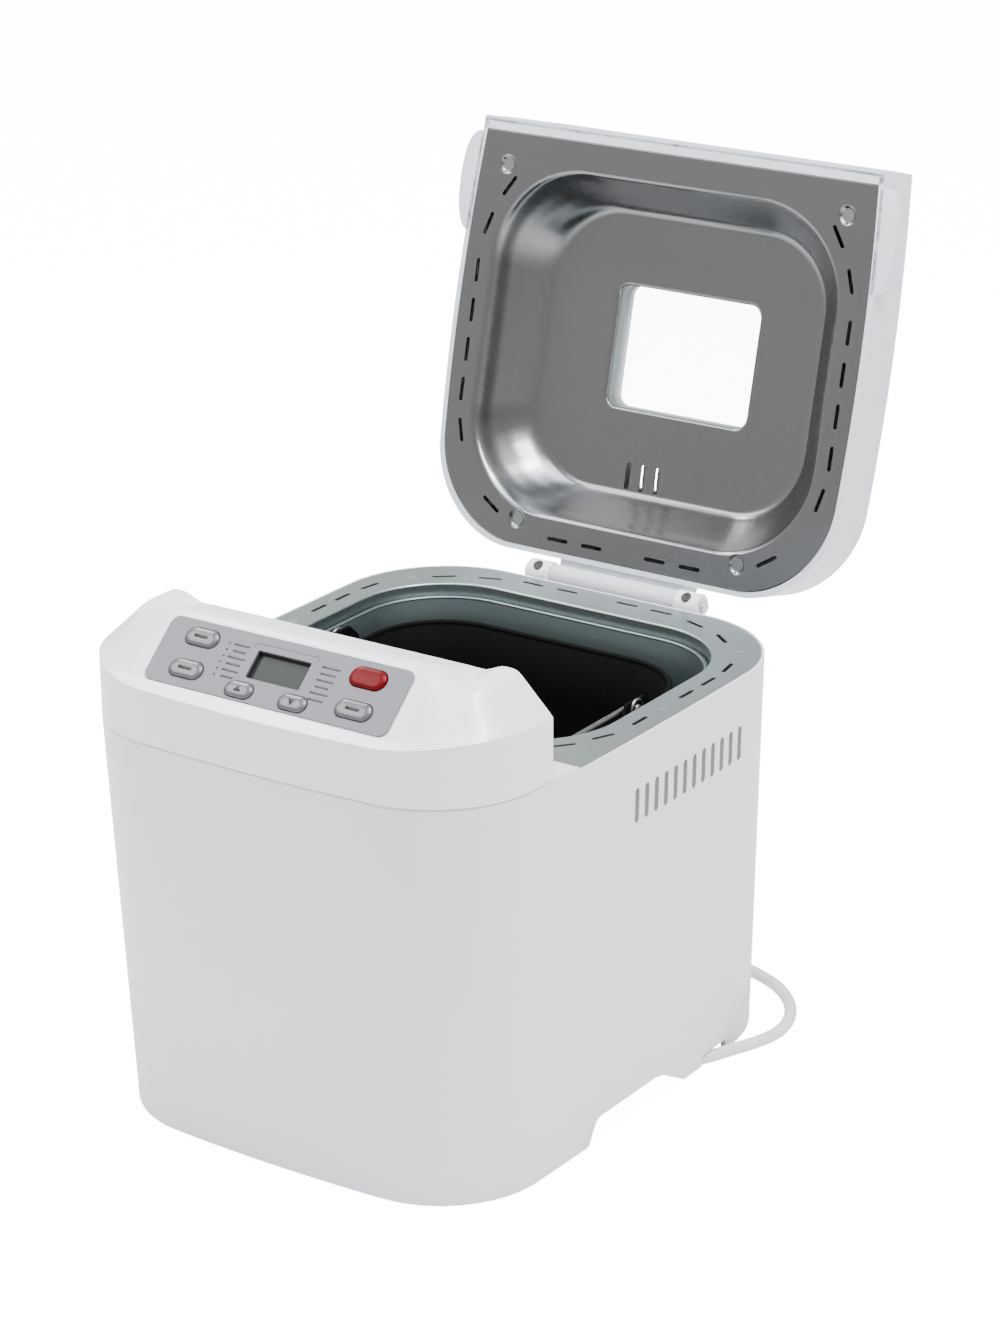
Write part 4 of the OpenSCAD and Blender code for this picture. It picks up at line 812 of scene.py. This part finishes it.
def make_console():
    """The control console's cover: a height field between its bowed front and its straight back."""
    turn = np.radians(np.linspace(0, 88, 27))
    flat = np.linspace(0, CORNER_START, 31)[:-1]
    half = np.concatenate([flat, CORNER_START + FRONT_R * np.sin(turn)])
    x = np.concatenate([-half[:0:-1], half])
    v = np.concatenate([[0, 0.03], np.linspace(0.05, 0.96, 62), [0.985, 1]])

    def field(e):
        """The cover's surface, or its inside at e: rows from the bowed front to the back."""
        xi = x * (SIDE_TOP - e) / SIDE_TOP
        y0, y1 = front_y(xi) + e, CONSOLE_BACK - e
        y = y0[None] + (y1 - y0[None]) * v[:, None]
        xi = np.broadcast_to(xi, y.shape)
        return np.stack([xi, y, console_height(xi, y) - 1.3 * e], -1)

    cover = field_shell("console_cover_shell", field(0), field(WALL), CONSOLE_Z)
    tray = panel_box(PANEL_W / 2 - 2.9, PANEL_H / 2 - 0.5, 3.1)
    edged(cut(cover, [prism("tray", tray, -9, 9, panel_frame)]), 0.8, 32, 4)
    # the console's lighter copy of the white ABS is painted light
    place(cover, "base", "console_plastic", console_abs_painted_light, "console_cover")


def panel_box(hw, hd, r, n=10):
    """A rounded rectangle about the middle of the panel."""
    return box_ring(hw, hd, r, n, (0, PANEL_H / 2))


def make_panel():
    """The film-faced panel with openings for the keys and the display, and its printing."""
    rings = [lifted(panel_box(PANEL_W / 2 - 3, PANEL_H / 2 - 0.6, 3), n) for n in (-2.4, 0.06)]
    rings += [lifted(panel_box(PANEL_W / 2 - e, PANEL_H / 2 - e, 4.5 - e), n)
              for e, n in ((0.2, 0.06), (0, 0.2), (0, 0.42), (0.08, 0.56), (0.25, 0.65))]
    panel = capped_solid("control_panel_plate", rings, panel_frame)
    holes = [stadium(w + 0.7, h + 0.7, 20) + (x, s) for x, s, w, h in KEYS.values()]
    holes.append(grown_box(LCD, 0, 5, LCD_C))
    cut(panel, [prism("hole", hole, -5, 5, panel_frame) for hole in holes])
    place(edged(panel, 0.14, 40, 2), "base", "panel_film", panel_film, "control_panel")

    # printing: plain bars for lines of text beside the display, square dots, a bracket over the display
    bars = []
    rows = zip((8.6, 7.0, 9.4, 7.8, 8.8, 6.6), (9.8, 8.0, 9.0, 7.2, 9.6, 8.2))
    for i, (left, right) in enumerate(rows):
        s = 25.4 - 3.15 * i
        bars += [(-30.4, s, 1.1, 1.1), (-23.6, s, left, 1.0), (24.2, s - 0.6, right, 1.0)]
    bars += [(LCD_C[0], 28.4, 34, 0.25), (-17.4, 27.4, 0.25, 2.2), (16.6, 27.4, 0.25, 2.2)]
    ink = [prism("bar", box_ring(w / 2, h / 2, min(w, h) * 0.3, 2, (x, s)), 0.6, 0.69, panel_frame)
           for x, s, w, h in bars]
    place(joined("panel_printing", ink), "base", "panel_film", print_ink)


def make_keys():
    """Domed caps, each a stack of ovals drawn in towards the top, over a skirt and a keeper foot."""
    profile = ((0, -4.1), (0, 0.7), (0.12, 1.15), (0.4, 1.52), (0.85, 1.8), (1.5, 2.0), (2.3, 2.12),
               (3.2, 2.18))
    for name, (x, s, w, h) in KEYS.items():
        rings = [lifted(stadium(w + 2, h, 20) + (x, s), n) for n in (-5.2, -4.1)]
        rings += [lifted(stadium(w - 2 * e, h - 2 * e, 20) + (x, s), n) for e, n in profile]
        cap = edged(capped_solid(name + "_cap", rings, panel_frame), 0.1, 50, 2)
        if name == "start":
            place(cap, "start_key", "start_key_plastic", key_red, "key_start")
            continue
        place(cap, name + "_key", "key_plastic", key_silver, "key_" + name)
        mark = box_ring(3.6, 0.8, 0.3, 3, (x, s))
        if name in ("up", "down"):
            up = 1 if name == "up" else -1
            mark = [(x - 1.9, s - 1.3 * up), (x + 1.9, s - 1.3 * up), (x, s + 1.7 * up)]
        mark = prism(name + "_mark", mark, 2.0, 2.26, panel_frame)
        place(mark, name + "_key", "key_plastic", arrow_ink)


def make_display():
    """The display: a glass face set below the panel, in a dark ring that is painted shade of its
    recess.
    """
    w, h = LCD[0] - 0.2, LCD[1] - 0.2
    levels = ((3, 1.8, -7.5), (3, 1.8, -3.5), (0, 0, -3.5), (0, 0, -1.7))
    rings = [lifted(box_ring(w + a, h + b, 0.6, 5, LCD_C), n) for a, b, n in levels]
    face = edged(capped_solid("display", rings, panel_frame), 0.1, 50, 2)
    place(face, "base", "display_glass", lcd_face, "lcd_module")
    # a dark ring lining the opening, painted shade of the recess walls
    section = ((0.05, -1.9), (0.05, 0.5), (-0.1, 0.55), (-0.35, 0.5), (-0.45, 0.3), (-0.45, -1.9))
    rings = [lifted(grown_box(LCD, e, 5, LCD_C), n) for e, n in section]
    place(ring_solid("display_recess_shade_ring", rings, panel_frame), "base", "display_glass", display_recess_shade)


# ---- deck, tub and pan
def direction_set(*outlines, centre, gap=0.35):
    """Directions from centre to every point of the outlines, without those closer than gap degrees."""
    a = np.sort(np.concatenate([np.arctan2(*(np.asarray(o) - centre).T[::-1]) for o in outlines]))
    keep = [a[0]]
    for value in a[1:]:
        if value - keep[-1] > math.radians(gap):
            keep.append(value)
    if keep[0] + 2 * math.pi - keep[-1] < math.radians(gap):
        keep.pop()
    return np.array(keep)


def make_deck():
    """The pressed deck plate: a sheet from the housing's rim to the oven's opening, rolled there."""
    centre = (0, OVEN_Y)
    edge = body_ring(DECK_Z, DECK_GAP)
    front = LEDGE_Y + 0.35
    corners = [(x, front + 0.05) for x in (-DECK_FRONT_X, DECK_FRONT_X)]
    edge = np.concatenate([edge[edge[:, 1] > front], corners])
    edge = edge[np.argsort(np.arctan2(*(edge - centre).T[::-1]))]
    angles = direction_set(edge, grown_box(HOLE, 0), centre=centre)
    outer = by_angle(edge, centre, angles)
    inset = np.asarray(centre) + (outer - centre) * 0.997
    rings = [lifted(outer, 189), lifted(outer, 189.75), lifted(inset, 190)]
    rolled = ((2.2, 190), (1, 190), (0.62, 189.93), (0.3, 189.72), (0.08, 189.4), (0, 189), (0, 182.6),
              (0.25, 182.4), (0.75, 182.4), (1, 182.6), (1, 188.2), (1.5, 188.8), (2.4, 189))
    rings += [lifted(by_angle(grown_box(HOLE, o), centre, angles), z) for o, z in rolled]
    deck = ring_solid("deck", rings)
    cut(deck, [prism("slot", turned(stadium(*DECK_SLOT, 8), x, y, 90 + t), 180, 200)
               for x, y, t in mirrored_spots(DECK_SLOTS)])
    place(edged(deck, 0.18, 45, 2), "base", "deck_metal", deck_sheet, "deck_plate")


def make_deck_screws():
    """Low pan heads that hold the deck plate down."""
    levels = ((2.7, -1), (2.7, 0.03), (2.5, 0.08), (1.6, 0.14), (0.6, 0.16))
    heads = [capped_solid("head", [lifted(circle(p, r, 28), DECK_Z + h) for r, h in levels])
             for p in DECK_SCREWS]
    place(joined("deck_screw_heads", heads), "base", "deck_metal", deck_sheet, "deck_screws")


def make_tub():
    """The oven tub: a deep drawn box with a rounded floor and a lip, and a bead rolled round it."""
    levels = ((-9, 40), (-3, 41.6), (0, 47), (0, 120), (0, 181.6), (1.2, 182), (1.8, 182.7),
              (1.8, 183.3), (1.2, 183.9), (0.2, 184), (-0.6, 183.7), (-1, 183), (-1, 120), (-1, 48),
              (-3.8, 42.8), (-9.6, 41))
    tub = capped_solid("tub", [lifted(grown_box(TUB, o), z) for o, z in levels])
    # the tub's darkened metal is painted shade inside the opening
    place(tub, "base", "tub_metal", tub_sheet_painted_shade, "oven_tub")
    bead = [lifted(grown_box(TUB, BEAD_R * math.cos(a) - 0.3), TUB_LIP_Z + BEAD_R * math.sin(a))
            for a in around(16)]
    # the lip's lighter metal is a painted highlight
    place(ring_solid("tub_rolled_lip", bead), "base", "tub_metal", lip_sheet_painted_highlight)


def make_pan():
    """The bread pan: drawn walls that flare upwards, a rolled bead at the rim and a rounded floor."""
    z, grow, r = np.array(PAN_LEVELS).T

    def ring(h, e):
        """The pan's outline at height h over its floor, moved out by e."""
        g, k = np.interp(h, z, grow) + e, np.interp(h, z, r) + e
        return lifted(box_ring(PAN[0] + g, PAN[1] + g, k), PAN_FLOOR + h)

    rings = [ring(h, 0) for h in (0, 0.4, 1.2, 2.4, 4, 6, 8, 30, 60, 90, 113)]
    for a in np.radians(np.linspace(-30, 210, 15)):
        bead = grown_box((*PAN, 40), RIM_R * math.cos(a) - 1.5)
        rings.append(lifted(bead, PAN_FLOOR + PAN_RIM_H + RIM_R * math.sin(a)))
    rings += [ring(h, -PAN_WALL) for h in (114, 90, 60, 30, 9.2, 7.2, 5.2, 3.6, 2.4, 1.6, 1.2)]
    place(capped_solid("pan", rings), "pan", "nonstick_coating", nonstick, "bread_pan", "pan_rim_wire")


def tube(name, path, r, sides=20):
    """A round rod along a path, its rings carried from each point to the next without twist."""
    p = np.asarray(path, float)
    along = np.gradient(p, axis=0)
    along /= np.linalg.norm(along, axis=1)[:, None]
    up = np.cross(along[0], (0.3, 0.5, 0.81))
    up /= np.linalg.norm(up)
    a = around(sides)[:, None]
    rings = []
    for at, t in zip(p, along):
        up = up - t * (up @ t)
        up /= np.linalg.norm(up)
        rings.append(at + r * (np.cos(a) * up + np.sin(a) * np.cross(t, up)))
    return capped_solid(name, rings)


def make_bail():
    """The pan's wire handle: a rod bent to two legs and a cross bar, its ends headed, with an eye."""
    right = [(84.8, 0), (82.2, 0), *arc((82, -2.5), 2.5, 90, 180, 6)]
    right += [(BAIL_LEG, y) for y in np.linspace(-6, BAIL_BEND - BAIL_REACH, 8)]
    right += [*arc((BAIL_LEG - BAIL_BEND, BAIL_BEND - BAIL_REACH), BAIL_BEND, 0, -90, 18)[1:]]
    right = np.array(right)
    path = np.concatenate([right, [(x, -BAIL_REACH) for x in np.linspace(40, -40, 5)],
                           right[::-1] * (-1, 1)])
    parts = [tube("rod", lifted(path + (0, OVEN_Y), BAIL_Z), BAIL_R)]
    head = ((83.2, 1.6), (83.3, 2.3), (83.9, 2.5), (84.9, 2.1), (85.2, 1.2))
    eye = [(EYE_X + BEAD_R * math.cos(a), EYE_R + BEAD_R * math.sin(a)) for a in around(10)]
    for s in (1, -1):
        for make, name, section, n in ((capped_solid, "head", head, 24), (ring_solid, "eye", eye, 32)):
            rings = [sideways(circle((OVEN_Y, BAIL_Z), r, n), s * x) for x, r in section]
            parts.append(make(name, rings))
    place(joined("bail_handle", parts), "bail", "bright_steel", bail_steel, "pan_bail")


# ---- lid
def lid_height(x, y):
    """Top of the lid's shell above its edge: its section read at the distance in from the outline."""
    r = LID_R
    qx, qy = np.abs(x) - lid_side(y) + r, y - LID_BACK + r
    d = r - np.hypot(np.maximum(qx, 0), np.maximum(qy, 0)) - np.minimum(np.maximum(qx, qy), 0)
    return soft_lookup(d, LID_PROFILE, 1.3)


def steam_cutters():
    """Cutters for the steam slots over the window, through the liner and the shell alike."""
    return [prism("steam", turned(stadium(*STEAM_SLOT), x, y, 90), LID_Z + 20, LID_Z + 60, open_frame)
            for x, y in STEAM_SLOTS]


def make_lid():
    """The lid's moulded shell with its two finger grips."""
    flat = LID_HW - LID_R
    turn = np.radians(np.linspace(0, 89, 31))
    half = np.concatenate([np.linspace(0, flat, 25)[:-1], flat + LID_R * np.sin(turn)])
    c = np.concatenate([-half[:0:-1], half])
    v = np.concatenate([[0, 0.007], np.linspace(0.014, 0.985, 100), [0.992, 1]])

    def field(e):
        """The shell's surface, or its inside at e: rows from the rounded rear to the front."""
        q = np.abs(c) - flat
        yr = LID_BACK - LID_R - e + np.where(q > 0, np.sqrt(np.maximum(0, LID_R ** 2 - q ** 2)), LID_R)
        y = yr[None] + (LID_FRONT + e - yr[None]) * v[:, None]
        x = np.broadcast_to(c, y.shape) * (lid_side(y) - e) / LID_HW
        z = lid_height(np.abs(x) + 0.6 * e, y + np.where(q > 0, 0.6 * e, 0)) - 1.25 * e
        return np.stack([x, y, LID_Z + z], -1)

    shell = field_shell("lid", field(0), field(WALL), LID_Z, open_frame)
    window = prism("window", grown_box(WINDOW, 0, 10, WINDOW_C), LID_Z + 20, LID_Z + 60, open_frame)
    parts = [cut(shell, [window, *steam_cutters()])]
    # each grip bulges out along a squarish oval
    t = np.sin(np.radians(np.linspace(-90, 90, 49)))
    for s in (1, -1):
        rings = []
        for e, z in ((0.9, 0), (0.25, 0.2), (0, 0.9), (0, 5.1), (0.4, 6.1), (1.4, 6.5)):
            x = GRIP_X + (GRIP_REACH - e) * (1 - np.abs(t) ** GRIP_SQUARENESS) ** (1 / GRIP_SQUARENESS)
            plan = np.stack([np.pad(x, 1, constant_values=GRIP_ROOT),
                             GRIP_Y + (GRIP_L - e) * np.pad(t, 1, "edge")], -1)
            rings.append(lifted(plan * (s, 1), LID_Z + z))
        grip = capped_solid("grip", rings, open_frame)
        parts.append(cut(grip, [prism("rebate", liner_ring(-0.3), LID_Z - 4, LID_Z + 1.4, open_frame)]))
    # flat lip that closes the front edge up to the liner
    y0, y1, z0, z1 = LID_FRONT + 1.2, LINER_FRONT - 0.25, LID_Z, LID_Z + 1.6
    lip = [[(x, y0, z0), (x, y0, z1), (x, y1, z1), (x, y1, z0)]
           for x in np.linspace(-LIP_HW, LIP_HW, 5)]
    parts.append(capped_solid("lip", lip, open_frame))
    lid = edged(joined("lid_outer_shell", parts), 0.6, 38, 3)
    # the lid's darker, bluer copy of the white ABS is painted shade
    place(lid, "lid", "lid_plastic", lid_abs_painted_shade, "lid_shell")


def make_liner():
    """The pressed liner: a flat rim, a deep dish drawn down by smoothed steps and a short turned edge
    round the window. Rings run from the outer edge in to the window, and back again behind."""
    centre = (0, DISH_Y)
    outlines = liner_ring(0), box_ring(*DISH_TOP, 22, centre), grown_box(WINDOW, 0, 8, WINDOW_C)
    angles = direction_set(*outlines, centre=centre, gap=0.45)
    z0 = LID_Z + 0.2
    face = [(liner_ring(e), z0 + z) for e, z in ((0, 0.35), (0.1, 0.1), (0.4, 0))]
    t = np.linspace(-0.06, 1.06, 34)
    top, floor = np.array(DISH_TOP), np.array(DISH_FLOOR)
    for s, z in zip(t, soft_lookup(t, DISH_STEPS, 0.06) * DISH_DEPTH):
        face.append((box_ring(*(top + (floor - top) * s), 22, centre), z0 + z))
    for e, z in ((8, 0), (4, 0), (2.2, 0), (1.3, 0.06), (0.6, 0.24), (0.15, 0.55), (0, 0.9)):
        face.append((grown_box(WINDOW, e, 8, WINDOW_C), z0 + DISH_DEPTH + z))
    face = [lifted(by_angle(plan, centre, angles), z) for plan, z in face]
    liner = ring_solid("liner", face + [ring + (0, 0, LINER_WALL) for ring in face[::-1]], open_frame)
    holes = [turned(stadium(*LINER_SLOT, 8), x, y, 90 + a) for x, y, a in mirrored_spots(LINER_SLOTS)]
    holes += [circle(p, DIMPLE_R, 40) for p in LID_SCREWS]
    holes = [prism("hole", hole, LID_Z - 5, LID_Z + 8, open_frame) for hole in holes]
    cut(liner, holes + steam_cutters())
    section = ((0, 0), (-0.45, 0.06), (-1.0, 0.3), (-1.6, 0.8), (-2.1, 1.3), (-2.6, 1.55), (-3.7, 1.6))
    line = [(DIMPLE_R + e, z0 + z) for e, z in section]
    line += [(r, z + LINER_WALL) for r, z in line[::-1]]
    cups = [ring_solid("cup", [lifted(circle(p, r, 40), z) for r, z in line], open_frame)
            for p in LID_SCREWS]
    liner = edged(joined("lid_liner_sheet", [liner, *cups]), 0.12, 45, 2)
    place(liner, "lid", "liner_metal", liner_sheet, "lid_liner")


def make_window():
    """Inner glass, spacer frame and outer cover of the lid's window."""
    panes = (("inner_pane", "window_glass", 4, ((0.3, 0), (0, 0.3), (0, 2.7), (0.3, 3)), GLASS_Z),
             ("outer_pane", "window_cover", 2.4, ((0.2, 0), (0, 0.2), (0, 1.4), (0.2, 1.6)), COVER_Z))
    for name, node, e, levels, z in panes:
        rings = [lifted(grown_box(WINDOW, e - k, 10, WINDOW_C), z + dz) for k, dz in levels]
        pane = capped_solid(name, rings, open_frame)
        pane.data.set_sharp_from_angle(angle=math.radians(20))
        place(pane, "lid", "window_glass", oven_glass, node)
    section = ((3, 0), (3, 5.3), (0.9, 5.3), (0.6, 5.0), (0.6, 0.3), (0.9, 0))
    rings = [lifted(grown_box(WINDOW, e, 10, WINDOW_C), GLASS_Z + 3.1 + z) for e, z in section]
    spacer = edged(ring_solid("pane_spacer", rings, open_frame), 0.15, 50, 2)
    # the spacer's darkened tub metal is painted shade on the window's inner edge
    place(spacer, "lid", "liner_metal", tub_sheet_painted_shade, "window_frame")


def make_hinge():
    """The hinge: two ears on the housing joined by a web, each ear with a screw in its slope."""
    back = HALF_D + 0.1
    ear = np.concatenate([arc((HINGE_Y, HINGE_Z), 6.0, -60, 200, 30),
                          [(back, HINGE_Z - 5), (back, 171), (141.2, 170), (HINGE_Y + 2.4, 183)]])
    parts = [across_x("ear", ear, *(s * x for x in EAR_X)) for s in (1, -1)]
    web = ((back, 166.5), (140.8, 167), (141.6, 180), (back, 180.5))
    parts.append(across_x("web", web, -EAR_X[1], EAR_X[1]))
    bracket = edged(joined("hinge_ears", parts), 0.9, 40, 3)
    place(bracket, "base", "hinge_plastic", hinge_abs, "hinge_bracket")
    lean = math.radians(EAR_SCREW_LEAN)
    out = np.array([0, math.cos(lean), math.sin(lean)])
    ring = circle((0, 0), 1, 24) @ [(1, 0, 0), np.cross(out, (1, 0, 0))]
    levels = ((-1.6, 2.6), (0.9, 2.6), (1.08, 2.35), (1.08, 1.3), (0.86, 1.1))
    feet = [np.array([s * EAR_SCREW_X, HINGE_Y, HINGE_Z]) + out * 5.2 for s in (1, -1)]
    screws = [capped_solid("screw", [foot + out * h + r * ring for h, r in levels]) for foot in feet]
    # the hinge screws' near-black steel is painted shade
    place(joined("hinge_screws", screws), "base", "motor_steel", screw_steel_painted_shade)


# ---- small parts
def body_name(node):
    """The body that a CAD node belongs to."""
    for body, nodes in frame["record"]["behaviour"]["bodies"].items():
        if node in nodes:
            return body
    return "base"


def dress(node, material, slot, width, angle=38):
    """A CAD node's shape with its points merged, its sharp edges rounded by width mm and its finish."""
    work = bmesh.new()
    work.from_mesh(frame["nodes"][node].data)
    bmesh.ops.transform(work, matrix=frame["nodes"][node].matrix_world, verts=work.verts)
    bmesh.ops.remove_doubles(work, verts=work.verts, dist=1e-6)
    bmesh.ops.dissolve_limit(work, angle_limit=math.radians(0.5), verts=work.verts, edges=work.edges)
    mesh = bpy.data.meshes.new(node)
    work.to_mesh(mesh)
    work.free()
    mesh.shade_smooth()
    mesh.set_sharp_from_angle(angle=math.radians(angle))
    piece = linked(node + "_part", mesh)
    modify(piece, "BEVEL", width=width / 1000, segments=2, limit_method="ANGLE",
           angle_limit=math.radians(angle), use_clamp_overlap=True)
    modify(piece, "WEIGHTED_NORMAL", keep_sharp=True)
    return place(piece, body_name(node), slot, material, node)


# finish, slot, and each node with the rounding of its edges in mm
SMALL = (
    (base_pp, "base_plastic", {"base_plate": 0.3}),
    (foot_rubber, "foot_rubber", {"rubber_feet": 0.6}),
    (motor_steel, "motor_steel", {"lid_screws": 0.4, "motor": 0.4, "motor_plate": 0.2}),
    (sheath_steel, "heater_sheath", {"heating_element": 0.1}),
    (bright_steel, "bright_steel", {"heater_clips": 0.1, "temperature_probe": 0.1,
                                    "drive_shaft": 0.2, "hinge_pin": 0.2, "kneader_shaft": 0.2}),
    (die_cast, "die_casting", {"pan_socket": 0.3, "bearing_housing": 0.3, "drive_coupling": 0.3,
                               "pan_base_ring": 0.3}),
    (bronze, "bronze", {"shaft_bush": 0.1, "pan_bush": 0.2}),
    (nylon, "pulley_nylon", {"drive_pulley": 0.3, "motor_pulley": 0.2}),
    (belt_rubber, "belt_rubber", {"drive_belt": 0.1}),
    (copper, "winding_copper", {"motor_coils": 0.4}),
    (can_white, "capacitor_can", {"run_capacitor": 0.4}),
    (board_green, "circuit_board", {"power_board": 0.1, "panel_board": 0.1}),
    # the knuckle's darker copy of the hinge ABS is painted shade
    (knuckle_abs_painted_shade, "hinge_plastic", {"lid_knuckle": 0.5}),
    (nonstick, "nonstick_coating", {"pan_ears": 0.2, "kneading_paddle": 0.3}),
    (sleeve_pvc, "sleeve_pvc", {"strain_relief": 0.2}),
    (cord_pvc, "cord_pvc", {"power_plug": 0.8}),
)

make_camera()
cord, cord_exit, cord_length = make_cord()
make_studio()
make_housing()
make_baffles()
make_console()
make_panel()
make_keys()
make_display()
make_deck()
make_deck_screws()
make_tub()
make_pan()
make_bail()
make_lid()
make_liner()
make_window()
make_hinge()
made = {node: dress(node, material, slot, width)
        for material, slot, nodes in SMALL for node, width in nodes.items()}
place(cord, "base", "cord_pvc", cord_pvc, "power_cord", "cord_coil")
make_plug_pins()
